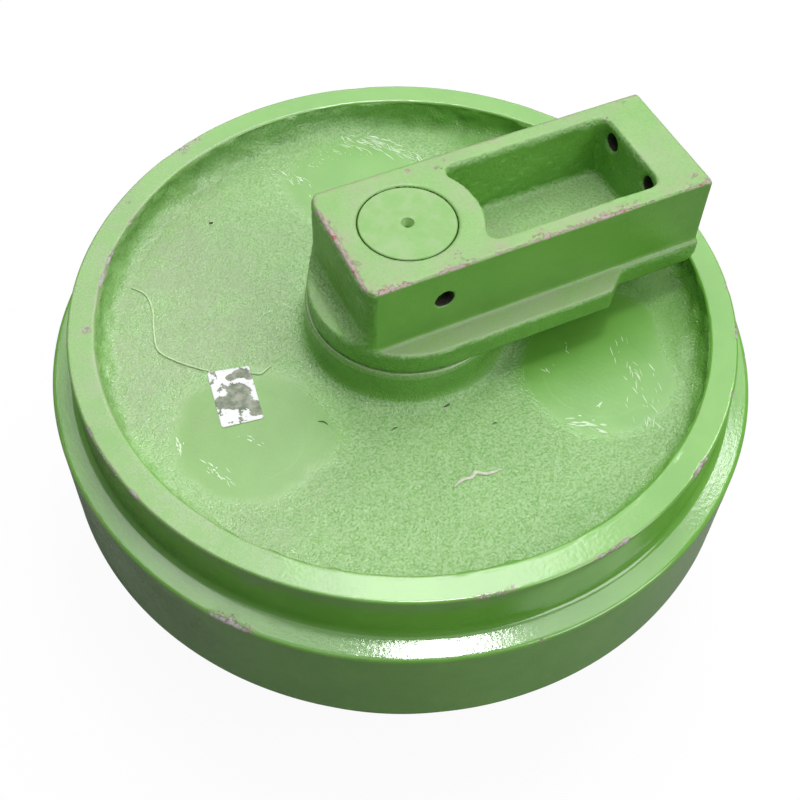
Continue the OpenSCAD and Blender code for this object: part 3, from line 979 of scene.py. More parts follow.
    def worn(self, points: np.ndarray, skin: np.ndarray, angle: np.ndarray, radius: np.ndarray) -> np.ndarray:
        """How bare the paint is worn at each point.

        Args:
            points: Points of the wheel.
            skin: Skin number of each point; not used.
            angle: Angle of each point in degrees.
            radius: Radius of each point's ring.

        Returns:
            Wear from 0 to about 0.6, where chips start at about 0.4.
        """
        wear = np.zeros(len(points))
        corners = {Skin.OUTER_EDGE: (self.tread_r, self.rim_z), Skin.INNER_EDGE: (self.rim_in_r, self.rim_z),
                   Skin.FLANGE_EDGE: (self.flange_r, self.flange_z)}
        for edge, (edge_r, edge_z) in corners.items():
            near = np.exp(-(np.hypot(radius - edge_r, np.abs(points[:, 2]) - edge_z) / self.worn_width) ** 2)
            knocks = 0.20 + 0.30 * np.clip(Grain(53).layered(points, 30.0, 2), -0.5, 0.5)
            for chip in (chip for chip in CHIPS if chip.skin is edge):
                off = np.abs((angle - chip.angle + 180.0) % 360.0 - 180.0)
                bare = chip.bare * smooth_step(chip.half * 1.3, chip.half * 0.3, off)
                knocks = np.where(points[:, 2] > 0.0, np.maximum(knocks, bare), knocks)
            wear = np.maximum(wear, knocks * near)
        for scuff in SCUFFS:
            rubbed = 0.45 * smooth_step(scuff.size * 1.8, scuff.size * 0.3, scuff.gap(points))
            wear = np.where(radius > self.rim_in_r, np.maximum(wear, rubbed), wear)
        return wear

    def skin_maps(self, points: np.ndarray, skin: np.ndarray, cast: np.ndarray,
                  wear: np.ndarray) -> dict[str, np.ndarray]:
        """The attributes that the paint reads.

        Args:
            points: Points of the wheel.
            skin: Skin number of each point.
            cast: Share of cast skin.
            wear: Wear of the paint.

        Returns:
            The attributes cast, dust, wear, grime_and_shade, filler and stain.
        """
        radius = np.hypot(points[:, 0], points[:, 1])
        left = leftward(points)
        dust = fallen_dust(points) * (1.0 - 0.5 * self.covers.calm(points[:, :2]))
        outside = np.isin(skin, [Skin.TURNED.value, Skin.OUTER_EDGE.value, Skin.FLANGE_EDGE.value])
        smudge = 1.0 + 0.5 * Grain(69).layered(points, 20.0, 3, 0.7)
        dust = np.where(outside, smudge * (0.14 + 0.50 * smooth_step(0.10, 0.9, left)), dust)
        beside = outside & (radius > self.tread_r - 1.0) & (np.abs(points[:, 2]) < self.rim_z - 3.0)
        dust = np.where(beside, 0.5 * dust, dust)
        dust = np.where(skin == Skin.FLANGE_SIDE.value, 0.08, dust)
        steep = np.maximum(0.8 * smooth_step(self.hub_r + 8.0, self.hub_r + 0.5, radius),
                           0.5 * smooth_step(self.rim_in_r - self.dish_r, self.rim_in_r - 2.0, radius))
        dust = np.where(skin == Skin.CAST.value, dust * (1.0 - steep), dust)
        # Pale dust on the hub's top edge, partly a painted highlight along that edge.
        dust = np.where(outside & (radius < self.hub_r + 1.0), 0.70, dust)
        tread = (np.abs(radius - self.tread_r) < 1.0) & (np.abs(points[:, 2]) < self.rim_z - 3.0)
        wall = tread | (skin == Skin.FLANGE_SIDE.value)
        # Painted shade: the tread and the flange's side grow darker towards the left.
        left_wall_shade = np.clip(0.42 + 0.25 * Grain(67).layered(points, 60.0, 2), 0.0, 0.9)
        grime_and_shade = np.where(wall, left_wall_shade * smooth_step(0.30, 1.0, left), 0.0)
        # Painted shade in the hollows between the knobs of the dish's wall.
        knob_hollow_shade = 0.34 * smooth_step(0.0, 1.4, -self.knobs(points))
        sandy = (skin == Skin.CAST.value) & (radius < self.rim_in_r + 2.0)
        grime_and_shade = np.where(sandy, np.maximum(grime_and_shade, knob_hollow_shade), grime_and_shade)
        worn_flat = 1.0 - 0.35 * smooth_step(0.1, 0.8, left)
        web = (skin == Skin.CAST.value) & (np.abs(points[:, 2]) < self.web_z + 2.0)
        filler = np.where(web, self.covers.calm(points[:, :2]), 0.0)
        stain = np.where(web, aged_paint(points, filler), 0.0)
        return {"cast": np.clip(cast * worn_flat, 0.0, 1.0), "dust": np.clip(dust, 0.0, 1.0), "wear": wear,
                "grime_and_shade": grime_and_shade, "filler": filler, "stain": stain}

    def keep_web(self, points: np.ndarray, upper: Section, segments: int) -> None:
        """Keeps the upper web's heights, for the pieces that lie on it.

        Args:
            points: Points of the wheel.
            upper: Section above the middle plane.
            segments: Points of one ring.
        """
        web = [k for k, (r, z) in enumerate(zip(upper.radii, upper.heights))
               if abs(z - self.web_z) < 0.01 and self.hub_r < r < self.rim_in_r]
        grid = points.reshape(-1, segments, 3)[web]
        self.web_radii = np.array([upper.radii[k] for k in web])
        self.web_heights = grid[:, :, 2]

    def height_at(self, spots: np.ndarray) -> np.ndarray:
        """Height of the upper web.

        Args:
            spots: Places on the web, one row each.

        Returns:
            The height at each place.
        """
        radius = np.hypot(spots[:, 0], spots[:, 1])
        row = np.clip(np.interp(radius, self.web_radii, np.arange(len(self.web_radii))), 0,
                      len(self.web_radii) - 1.001)
        column = (np.arctan2(spots[:, 1], spots[:, 0]) / (2 * math.pi) % 1.0) * self.segments
        r0, c0 = row.astype(int), column.astype(int) % self.segments
        fr, fc = row - r0, column - np.floor(column)
        c1 = (c0 + 1) % self.segments
        grid = self.web_heights
        return ((1 - fr) * ((1 - fc) * grid[r0, c0] + fc * grid[r0, c1])
                + fr * ((1 - fc) * grid[r0 + 1, c0] + fc * grid[r0 + 1, c1]))

    @staticmethod
    def quads(rings: int, segments: int) -> list:
        """Faces of a grid that closes both ways.

        Args:
            rings: Number of rings.
            segments: Points of one ring.

        Returns:
            The corners of each face.
        """
        i = np.arange(rings)[:, None]
        j = np.arange(segments)[None, :]
        ni, nj = (i + 1) % rings, (j + 1) % segments
        corners = [i * segments + j, ni * segments + j, ni * segments + nj, i * segments + nj]
        return np.stack(corners, axis=2).reshape(-1, 4).tolist()


@dataclass
class CoreCover:
    """One disc that closes a core hole, filled over and painted smooth, flush with the web."""

    plan: CoverPlan
    side: Side
    index: int
    web_z: float = WEB_Z
    thickness: float = 6.0
    rise: float = 0.06
    dip: float = 0.5
    rings: int = 36
    segments: int = 176
    coarse: tuple[int, int] = (16, 88)

    def height(self, spots: np.ndarray) -> np.ndarray:
        """Height of the disc's face over a place, below the web outside the disc.

        Args:
            spots: Places on the web, one row each.

        Returns:
            The height at each place.
        """
        gap = np.hypot(*(spots - self.plan.centre(self.index)).T)
        place = np.column_stack([spots, np.full(len(spots), 40.0 * self.index)])
        radius = self.plan.diameter / 2
        wave = 0.22 * Grain(73).at(place, 34.0) + 0.07 * Grain(74).at(place, 12.0)
        wave *= smooth_step(radius, radius - 16.0, gap)
        dip = self.dip * smooth_step(radius - 8.0, radius, gap)
        return np.where(gap < radius + 0.1, self.web_z + self.rise + wave - dip, self.web_z - 3.0)

    def build(self, finish: bpy.types.Material) -> bpy.types.Object:
        """Makes and places the disc.

        Args:
            finish: Paint.

        Returns:
            The piece.
        """
        fine = self.side is Side.UPPER
        rings, segments = (self.rings, self.segments) if fine else self.coarse
        centre = self.plan.centre(self.index)
        turns = np.linspace(0.0, 2.0 * math.pi, segments, endpoint=False)
        reach = np.linspace(0.0, self.plan.diameter / 2, rings + 1)[1:]
        ways = np.stack([np.cos(turns), np.sin(turns)], axis=1)
        flat = centre + (reach[:, None, None] * ways[None]).reshape(-1, 2)
        flat = np.vstack([centre[None], flat])
        top = np.column_stack([flat, self.height(flat)])
        rim = top[-segments:].copy()
        rim[:, 2] = self.web_z - self.thickness
        foot = np.array([[*centre, self.web_z - self.thickness]])
        verts = np.vstack([top, rim, foot])
        faces = [[0, 1 + j, 1 + (j + 1) % segments] for j in range(segments)]
        for i in range(rings):
            low, high = 1 + i * segments, 1 + (i + 1) * segments
            faces += [[low + j, high + j, high + (j + 1) % segments, low + (j + 1) % segments]
                      for j in range(segments)]
        last, end = 1 + rings * segments, len(verts) - 1
        faces += [[last + j, end, last + (j + 1) % segments] for j in range(segments)]
        verts[:, 2] *= self.side.value
        cast = np.full(len(verts), 0.05)
        cloud = 1.0 + 0.8 * Grain(79).layered(verts, 46.0, 3, 0.6)
        dust = np.clip(0.5 * fallen_dust(verts) * cloud, 0.0, 1.0)
        name = f"{self.side.word}_cover_disc_{self.index + 1}"
        filler = np.ones(len(verts))
        shell = Shell(name, verts, faces, {"cast": cast, "dust": dust, "filler": filler,
                                           "stain": aged_paint(verts, filler)})
        return shell.facing_out().place(Body.WHEEL, "cover_paint", finish,
                                        [f"{self.side.word}_core_cover_{self.index + 1}"])


@dataclass
class BracketCasting:
    """A pocketed bracket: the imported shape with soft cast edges, sand skin, dust and chipped top edges."""

    side: Side
    voxel: float = 1.6
    soften: float = 0.55
    soften_steps: int = 9
    machined_steps: int = 2
    outer_z: float = 188.5
    ledge_z: float = 125.2
    inner_z: float = 105.5
    block_half: float = 56.0
    block_back: float = -58.0
    machined_from: float = -51.0
    reach: float = 233.5
    bore_r: float = 37.55
    pocket: tuple[float, float, float] = (50.0, 194.5, 40.5)
    pin: tuple[float, float, float] = (5.0, 158.0, 7.5)
    bolt: tuple[float, float, float] = (27.0, 172.5, 7.5)
    spots: tuple[tuple[float, float, float, float], ...] = (
        (23.5, 48.6, 188.5, 4.0), (46.0, 42.2, 188.5, 5.0), (54.9, 48.0, 188.5, 4.0),
        (-58.0, -15.0, 135.0, 4.5), (-61.0, -22.0, 126.0, 4.0), (-55.0, -8.0, 129.0, 3.0),
        (88.0, -47.0, 188.5, 3.0), (222.8, -44.0, 188.5, 5.0))
    seed: int = 83

    def remeshed(self) -> tuple[np.ndarray, list, np.ndarray]:
        """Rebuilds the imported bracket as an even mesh.

        Returns:
            Vertices in millimetres, faces and edges.
        """
        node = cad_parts[f"{self.side.word}_bracket"]
        joined = bmesh.new()
        joined.from_mesh(node.data)
        joined.transform(node.matrix_world)
        bmesh.ops.remove_doubles(joined, verts=joined.verts, dist=1e-6)
        mesh = bpy.data.meshes.new("bracket_blank")
        joined.to_mesh(mesh)
        joined.free()
        blank = bpy.data.objects.new("bracket_blank", mesh)
        bpy.context.scene.collection.objects.link(blank)
        even = blank.modifiers.new("even", "REMESH")
        even.mode = "VOXEL"
        even.voxel_size = self.voxel * MM
        shape = blank.evaluated_get(bpy.context.evaluated_depsgraph_get()).to_mesh()
        verts = np.empty(len(shape.vertices) * 3)
        shape.vertices.foreach_get("co", verts)
        edges = np.empty(len(shape.edges) * 2, dtype=np.int64)
        shape.edges.foreach_get("vertices", edges)
        faces = [list(polygon.vertices) for polygon in shape.polygons]
        bpy.data.objects.remove(blank)
        bpy.data.meshes.remove(mesh)
        return verts.reshape(-1, 3) / MM, faces, edges.reshape(-1, 2)

    @staticmethod
    def averaged(values: np.ndarray, edges: np.ndarray) -> np.ndarray:
        """Each vertex's mean over its neighbours, for one column of values.

        Args:
            values: One value for each vertex.
            edges: Vertex pairs.

        Returns:
            One mean for each vertex.
        """
        count = len(values)
        first, second = edges.T
        total = np.bincount(first, values[second], count) + np.bincount(second, values[first], count)
        share = np.bincount(edges.ravel(), minlength=count)
        return total / np.maximum(share, 1)

    @staticmethod
    def normals(verts: np.ndarray, faces: list) -> np.ndarray:
        """Vertex normals of a mesh of quads and triangles.

        Args:
            verts: Vertices, one row each.
            faces: Corners of each face.

        Returns:
            One normal for each vertex.
        """
        mesh = bpy.data.meshes.new("probe")
        mesh.from_pydata(verts.tolist(), [], faces)
        found = np.empty(len(verts) * 3)
        mesh.vertices.foreach_get("normal", found)
        bpy.data.meshes.remove(mesh)
        return found.reshape(-1, 3)

    def cast_share(self, p: np.ndarray, n: np.ndarray) -> np.ndarray:
        """Share of rough cast skin: full in the pocket, at the back and on the plate, little elsewhere.

        Args:
            p: Points of the upper bracket.
            n: Their normals.

        Returns:
            One share for each point.
        """
        x, y, z = p.T
        share = np.ones(len(p))
        share[(n[:, 2] > 0.7) & (z > self.outer_z - 2.0)] = 0.22
        sides = (np.abs(n[:, 1]) > 0.7) & (np.abs(np.abs(y) - self.block_half) < 1.5)
        share[sides & (z > self.ledge_z + 1.0) & (x > self.machined_from)] = 0.18
        share[(n[:, 0] > 0.7) & (x > self.reach - 1.5)] = 0.2
        share[(n[:, 2] > 0.7) & (np.abs(z - self.ledge_z) < 2.0)] = 0.28
        share[(n[:, 2] < -0.7) & (z < self.inner_z + 1.5)] = 0.0
        share[(np.hypot(x, y) < self.bore_r + 1.0) | (z < self.inner_z - 0.5)] = 0.0
        return share

    def worn(self, p: np.ndarray) -> np.ndarray:
        """Wear of the paint, along the edges of the outer face and most at the back and front corners.

        Args:
            p: Points of the upper bracket.

        Returns:
            Wear from 0 to about 0.66.
        """
        x, y, z = p.T
        near_top = smooth_step(self.outer_z - 3.4, self.outer_z - 0.6, z)
        streak = Grain(self.seed + 3).layered(p * np.array((1.0, 1.0, 0.3)), 26.0, 3)
        wear = np.zeros(len(p))
        half, back, reach = self.block_half, self.block_back, self.reach
        for gap, bare, haze, width in ((x - back, 0.62, 0.44, 5.6), (y + half, 0.48, 0.40, 4.6),
                                       (half - y, 0.44, 0.32, 4.0), (reach - x, 0.40, 0.28, 4.0)):
            wear = np.maximum(wear, (bare + 0.40 * streak) * np.exp(-(gap / width) ** 2))
            wear = np.maximum(wear, (haze + 0.34 * streak) * np.exp(-np.abs(gap) / 24.0))
        for corner_x, corner_y, bare in ((back, -half, 0.62), (reach, -half, 0.62), (back, half, 0.55),
                                         (reach, half, 0.52)):
            gap = np.hypot(x - corner_x, y - corner_y)
            wear = np.maximum(wear, bare * np.exp(-gap / 9.0))
        pocket_start, pocket_end, pocket_half = self.pocket
        rim = np.maximum(np.maximum(pocket_start - x, x - pocket_end), np.abs(y) - pocket_half)
        wear = np.maximum(wear, (0.34 + 0.3 * streak) * np.exp(-np.abs(rim) / 3.0))
        wear = np.clip(wear, 0.0, 0.66) * near_top
        for spot_x, spot_y, spot_z, size in self.spots:
            gap = np.linalg.norm(p - np.array((spot_x, spot_y, spot_z)), axis=1)
            wear = np.maximum(wear, 0.45 * smooth_step(size * 1.8, size * 0.2, gap))
        return wear

    def joint_line_and_hole_shade(self, p: np.ndarray) -> np.ndarray:
        """Dark joint line round the shaft's end, and painted shade in the pin's hole and in the bolt holes.

        Args:
            p: Points of the upper bracket.

        Returns:
            One amount for each point, from 0 to 1.
        """
        x, y, z = p.T
        grime_and_shade = smooth_step(self.bore_r + 0.75, self.bore_r + 0.35, np.hypot(x, y))
        # Painted shade in the pin's hole, and below it in the bolt holes.
        pin_x, pin_z, pin_r = self.pin
        pin_gap = np.hypot(x - pin_x, z - pin_z)
        within = np.abs(y) < self.block_half - 1.2
        grime_and_shade = np.maximum(grime_and_shade, np.where(within, smooth_step(pin_r + 0.9, pin_r + 0.4, pin_gap), 0.0))
        bolt_y, bolt_z, bolt_r = self.bolt
        bolt_gap = np.hypot(np.abs(y) - bolt_y, z - bolt_z)
        deep = (x > self.pocket[1] + 1.5) & (x < self.reach - 1.2)
        return np.maximum(grime_and_shade, np.where(deep, smooth_step(bolt_r + 0.9, bolt_r + 0.4, bolt_gap), 0.0))

    def build(self, finish: bpy.types.Material) -> bpy.types.Object:
        """Makes and places the bracket.

        Args:
            finish: Paint.

        Returns:
            The piece.
        """
        verts, faces, edges = self.remeshed()
        verts[:, 2] *= self.side.value
        if self.side is Side.LOWER:
            faces = [face[::-1] for face in faces]
        share = self.cast_share(verts, self.normals(verts, faces))
        for step in range(self.soften_steps):
            machined_pull = self.soften if step < self.machined_steps else 0.0
            pull = np.where(share > 0.5, self.soften, machined_pull)
            pull = np.where(verts[:, 2] < self.inner_z + 1.0, machined_pull, pull)
            mean = np.column_stack([self.averaged(verts[:, k], edges) for k in range(3)])
            verts += pull[:, None] * (mean - verts)
        for _ in range(3):
            share = 0.4 * share + 0.6 * self.averaged(share, edges)
        normals = self.normals(verts, faces)
        grain = Grain(self.seed)
        sand = 0.75 * grain.at(verts, 24.0) + 0.60 * Grain(self.seed + 1).layered(verts, 8.0, 2, 0.7)
        waves = 0.10 * Grain(self.seed + 2).at(verts, 40.0)
        wear = self.worn(verts)
        dents = 0.5 * smooth_step(0.40, 0.62, wear) * (0.5 + Grain(self.seed + 7).at(verts, 9.0))
        clear = smooth_step(self.inner_z + 0.5, self.inner_z + 3.0, verts[:, 2])
        verts += normals * ((share * sand + waves * 0.6) * clear - np.clip(dents, 0.0, 0.8))[:, None]
        around = np.hypot(verts[:, 0], verts[:, 1])
        tight = (around < self.bore_r + 0.6) & (verts[:, 2] > self.inner_z - 12.0)
        verts[tight, :2] *= ((self.bore_r + 0.25) / np.minimum(around[tight], self.bore_r + 0.25))[:, None]
        normals = self.normals(verts, faces)
        up = np.clip(normals[:, 2], 0.0, 1.0)
        ledge = (np.abs(verts[:, 2] - self.ledge_z) < 4.0) & (np.abs(verts[:, 1]) > self.block_half - 1.0)
        dust = 0.05 + up * (0.57 + 0.45 * Grain(self.seed + 4).layered(verts, 50.0, 3))
        # Full dust on the ledge, which also brightens it where the block's shade falls: partly painted light.
        dust = np.where(ledge, np.maximum(dust, smooth_step(0.5, 0.9, up)), dust)
        dust *= 1.0 if self.side is Side.UPPER else 0.4
        grime_and_shade = self.joint_line_and_hole_shade(verts)
        verts[:, 2] *= self.side.value
        if self.side is Side.LOWER:
            faces = [face[::-1] for face in faces]
        name = f"{self.side.word}_bracket_casting"
        shell = Shell(name, verts, faces, {"cast": share, "dust": np.clip(dust, 0.0, 1.0), "wear": wear,
                                           "grime_and_shade": grime_and_shade})
        return shell.place(Body.AXLE, "bracket_paint", finish, [f"{self.side.word}_bracket"])


@dataclass(frozen=True)
class Stroke:
    """A band of short raised paint strokes, pale to paint the glints on them: its ends, their number,
    scatter, slant, length and width.

    The slant is in degrees from +X.
    """

    head: Point
    tail: Point
    count: int
    scatter: float
    slant: float
    length: float
    width: float


STROKES = (
    Stroke((40.0, 220.0), (82.0, 192.0), 34, 5.0, -58.0, 18.0, 2.6),
    Stroke((64.0, 214.0), (92.0, 174.0), 16, 1.8, -54.0, 22.0, 2.0),
    Stroke((92.0, 184.0), (99.0, 158.0), 8, 1.5, -74.0, 18.0, 1.7),
    # Tiny pale strokes over the far web: painted sparkle glints.
    Stroke((-45.0, 204.0), (70.0, 213.0), 80, 8.0, -60.0, 5.0, 1.5),
    Stroke((-20.0, 198.0), (-6.0, 176.0), 12, 3.0, -70.0, 14.0, 2.4),
    Stroke((-11.0, 168.0), (-8.0, 150.0), 9, 2.0, -95.0, 12.0, 2.2),
    Stroke((79.0, -139.0), (97.0, -158.0), 18, 3.0, -36.0, 12.0, 3.0),
    Stroke((102.0, -137.0), (111.0, -134.0), 4, 1.0, 10.0, 11.0, 3.0),
    Stroke((152.0, -92.0), (137.0, -168.0), 40, 8.0, -102.0, 13.0, 1.5),
    Stroke((112.0, -78.0), (84.0, -88.0), 7, 4.0, -80.0, 8.0, 1.5),
    Stroke((-204.0, -30.0), (-206.0, -46.0), 12, 1.6, -95.0, 9.0, 2.8),
    Stroke((-196.0, -56.0), (-182.0, -86.0), 18, 2.4, -62.0, 9.0, 2.8),
    Stroke((-160.0, -46.0), (-147.0, -60.0), 8, 1.6, -50.0, 6.0, 2.0),
)


# Torn places of the label: middle and half size across and down, as shares of its width and height.
TEARS = (
    (0.52, 0.16, 0.16, 0.070), (0.74, 0.12, 0.24, 0.090), (0.93, 0.19, 0.14, 0.080),
    (0.60, 0.44, 0.32, 0.170), (0.60, 0.62, 0.34, 0.170), (0.16, 0.58, 0.24, 0.120),
    (0.36, 0.66, 0.24, 0.090), (0.90, 0.80, 0.28, 0.150),
)


@dataclass(frozen=True)
class Fibre:
    """A short dark fibre on the web: its start, bend and end, and its radius."""

    start: Point
    bend: Point
    end: Point
    radius: float


FIBRES = (
    Fibre((-7.5, -87.5), (-3.5, -87.4), (1.0, -85.5), 0.9),
    Fibre((-53.0, -91.0), (-49.6, -89.7), (-47.0, -90.0), 0.5),
    Fibre((-104.0, 172.0), (-102.0, 171.0), (-100.5, 171.5), 0.9),
    Fibre((20.0, -118.0), (22.5, -117.0), (24.0, -118.5), 0.5),
    Fibre((-101.0, -60.0), (-97.0, -62.0), (-95.0, -66.0), 0.5),
)


@dataclass
class WebMarks:
    """What lies on the upper web: torn blank label, painted-over thread, flake, fibres and paint strokes, the
    thread and strokes pale to paint a highlight and glints.
    """

    wheel: WheelCasting
    discs: list[CoreCover]
    label: tuple[Point, ...] = ((-162.0, 19.0), (-129.5, 12.0), (-137.5, -40.0), (-170.0, -35.5))
    label_size: Point = (33.0, 53.0)
    label_corner: float = 2.6
    label_thickness: float = 0.22
    paper_lift: float = 0.55
    torn_lift: float = 0.38
    thread: tuple[Point, ...] = ((-188.0, 128.0), (-180.0, 116.0), (-180.0, 98.0), (-186.0, 77.0),
                                 (-189.5, 56.5), (-181.0, 41.0), (-168.0, 27.0), (-160.0, 19.5))
    curl: tuple[Point, ...] = ((-131.0, 4.0), (-128.0, 3.0), (-124.0, 1.0), (-119.0, 2.8), (-113.6, 5.0))
    flake: tuple[Point, ...] = ((-33.0, -156.5), (-24.0, -153.5), (-17.0, -154.5), (-12.0, -151.5),
                                (-5.0, -156.0), (8.0, -157.0))
    stroke_from: float = 97.0
    stroke_to: float = 231.0
    seed: int = 101

    def ground(self, spots: np.ndarray) -> np.ndarray:
        """Height of the web or of the cover that lies higher, at each place.

        Args:
            spots: Places on the web, one row each.

        Returns:
            The height at each place.
        """
        height = self.wheel.height_at(spots)
        for disc in self.discs:
            height = np.maximum(height, disc.height(spots))
        return height

    def on_web(self, path: np.ndarray, lift: float) -> np.ndarray:
        """Lays a flat path on the web at a small height."""
        return np.column_stack([path, self.ground(path) + lift])

    def build_label(self, paper: bpy.types.Material, torn: bpy.types.Material) -> None:
        """Makes the label's paper and the grey fibres that are left where its face is torn off.

        Args:
            paper: Finish of the white face.
            torn: Finish of the torn places.
        """
        across, down = 58, 88
        u, v = np.meshgrid(np.linspace(0.0, 1.0, across + 1), np.linspace(0.0, 1.0, down + 1))
        a, b, c, d = (np.array(corner) for corner in self.label)
        u3, v3 = u[..., None], v[..., None]
        flat = (1 - v3) * ((1 - u3) * a + u3 * b) + v3 * ((1 - u3) * d + u3 * c)
        centre_u, centre_v = (u[:-1, :-1] + u[1:, 1:]) / 2, (v[:-1, :-1] + v[1:, 1:]) / 2
        width, height = self.label_size
        place = np.stack([centre_u * width, centre_v * height, 0.0 * centre_u], axis=2).reshape(-1, 3)
        ragged = Grain(self.seed).layered(place, 7.0, 4, 0.7).reshape(centre_u.shape)
        hole = np.zeros(centre_u.shape)
        for mid_u, mid_v, half_u, half_v in TEARS:
            gap = np.hypot((centre_u - mid_u) / half_u, (centre_v - mid_v) / half_v)
            hole = np.maximum(hole, 1.0 - gap)
        bare = hole + 0.40 * ragged > 0.10
        past_u = np.maximum(np.abs(centre_u - 0.5) * width - width / 2 + self.label_corner, 0.0)
        past_v = np.maximum(np.abs(centre_v - 0.5) * height - height / 2 + self.label_corner, 0.0)
        rounded = np.hypot(past_u, past_v) < self.label_corner
        ends = self.ground(flat.reshape(-1, 2)).reshape(u.shape)
        index = np.arange(u.size).reshape(u.shape)
        cells = np.stack([index[:-1, :-1], index[1:, :-1], index[1:, 1:], index[:-1, 1:]], axis=2)
        for name, keep, lift, finish in (("paper_label", ~bare & rounded, self.paper_lift, paper),
                                         ("paper_label_torn", bare & rounded, self.torn_lift, torn)):
            quads = cells[keep]
            used = np.unique(quads)
            order = np.zeros(u.size, dtype=int)
            order[used] = np.arange(len(used))
            top = np.column_stack([flat.reshape(-1, 2), ends.ravel() + lift])[used]
            sheet = Shell(name, top, order[quads].tolist())
            piece = sheet.place(Body.WHEEL, "wheel_paint", finish)
            thick = piece.modifiers.new("thickness", "SOLIDIFY")
            thick.thickness = self.label_thickness * MM
            thick.offset = -1.0

    def build_threads(self, paint: bpy.types.Material) -> None:
        """Makes the painted-over thread and the short curl that sticks out of the label's edge.

        Args:
            paint: Finish of both.
        """
        for name, points, radius in (("painted_thread", self.thread, 0.95),
                                     ("painted_thread_end", self.curl, 1.0)):
            path = smooth_path(points, 1.2)
            radii = radius * (0.55 + 0.45 * np.sin(np.linspace(0.12, math.pi - 0.12, len(path))))
            lined = self.on_web(path, 0.0)
            lined[:, 2] = np.convolve(np.pad(lined[:, 2], 3, "edge"), np.ones(7) / 7, "valid") + 0.55
            tube_shell(name, lined, radii).place(Body.WHEEL, "wheel_paint", paint)

    def build_flakes(self, white: bpy.types.Material, dark: bpy.types.Material) -> None:
        """Makes the white paint flake and the dark fibres and specks.

        Args:
            white: Finish of the flake.
            dark: Finish of the fibres and specks.
        """
        path = smooth_path(self.flake, 1.0)
        swing = Grain(self.seed + 2).at(np.column_stack([path, np.zeros(len(path))]), 7.0)
        taper = np.sin(np.linspace(0.15, math.pi - 0.1, len(path))) ** 0.5
        radii = (1.0 + 1.5 * np.clip(swing + 0.3, 0.0, 1.0)) * taper
        ribbon = tube_shell("paint_flake", self.on_web(path, 0.5), radii)
        low = self.ground(ribbon.verts[:, :2])
        ribbon.verts[:, 2] = low + 0.35 + 0.35 * (ribbon.verts[:, 2] - low)
        ribbon.place(Body.WHEEL, "wheel_paint", white)
        for number, fibre in enumerate(FIBRES, 1):
            bits = smooth_path((fibre.start, fibre.bend, fibre.end), 0.7)
            sizes = fibre.radius * np.sin(np.linspace(0.3, math.pi - 0.3, len(bits)))
            shell = tube_shell(f"dark_fibre_{number}", self.on_web(bits, 0.45), sizes, 6)
            shell.place(Body.WHEEL, "wheel_paint", dark)

    def build_strokes(self, paint: bpy.types.Material) -> None:
        """Makes the short raised paint strokes round the covers as one piece, their pale colour a painted
        glint.

        Args:
            paint: Finish of the strokes.
        """
        draw = np.random.default_rng(self.seed + 4)
        verts, faces, start = [], [], 0
        for stroke in STROKES:
            head, tail = np.array(stroke.head), np.array(stroke.tail)
            for _ in range(stroke.count):
                spot = head + (tail - head) * draw.uniform(0.0, 1.0) + draw.normal(0.0, stroke.scatter, 2)
                slant = math.radians(stroke.slant) + draw.normal(0.0, 0.22)
                half = draw.uniform(0.15, 0.85) * stroke.length / 2
                way = half * np.array((math.cos(slant), math.sin(slant)))
                bow = np.array((-way[1], way[0])) * draw.normal(0.0, 0.08)
                radius = stroke.width * draw.uniform(0.12, 0.36)
                if not self.stroke_from < np.hypot(*spot) < self.stroke_to:
                    continue
                path = smooth_path((spot - way, spot + bow, spot + way), 0.9)
                taper = np.sin(np.linspace(0.2, math.pi - 0.2, len(path)))
                bead = tube_shell("stroke", self.on_web(path, 0.0), radius * taper, 8)
                low = self.ground(bead.verts[:, :2])
                bead.verts[:, 2] = low + 0.10 + 0.45 * (bead.verts[:, 2] - low)
                verts.append(bead.verts)
                faces += [[start + k for k in face] for face in bead.faces]
                start += len(bead.verts)
        Shell("paint_strokes_glint", np.vstack(verts), faces).place(Body.WHEEL, "wheel_paint", paint)


@dataclass
class InnerParts:
    """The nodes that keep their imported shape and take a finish."""

    finishes: dict[str, bpy.types.Material]

    def dress(self) -> None:
        """Gives each kept node the finish of the longest name part that it contains."""
        for name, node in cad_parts.items():
            fits = [part for part in self.finishes if part in name]
            if not fits:
                continue
            node.data.materials.clear()
            node.data.materials.append(self.finishes[max(fits, key=len)])
            LOG.info("%s: finished", name)


def upright_matrix(right: Sequence[float], up: Sequence[float], back: Sequence[float],
                   place: Sequence[float]) -> Matrix:
    """A placing matrix from three directions and a place."""
    rows = [[right[k], up[k], back[k], place[k]] for k in range(3)]
    return Matrix(rows + [[0.0, 0.0, 0.0, 1.0]])


@dataclass(frozen=True)
class SoftLight:
    """A square soft light that looks at the wheel.

    Its azimuth is in degrees from +X and its elevation in degrees over the horizon. Its distance and the
    side of its square are in metres, and its level is its radiance, where 1 shows as white.
    """

    name: str
    azimuth: float
    elevation: float
    distance: float
    size: float
    level: float

    def hang(self) -> None:
        """Makes the light and turns it to the wheel."""
        lamp = bpy.data.lights.new(self.name, "AREA")
        lamp.shape = "SQUARE"
        lamp.size = self.size
        lamp.energy = self.level * math.pi * self.size * self.size
        holder = bpy.data.objects.new(self.name, lamp)
        holder.visible_camera = False
        bpy.context.scene.collection.objects.link(holder)
        az, el = math.radians(self.azimuth), math.radians(self.elevation)
        way = np.array((math.cos(el) * math.cos(az), math.cos(el) * math.sin(az), math.sin(el)))
        side = np.array((-math.sin(az), math.cos(az), 0.0))
        holder.matrix_world = upright_matrix(side, np.cross(way, side), way, way * self.distance)


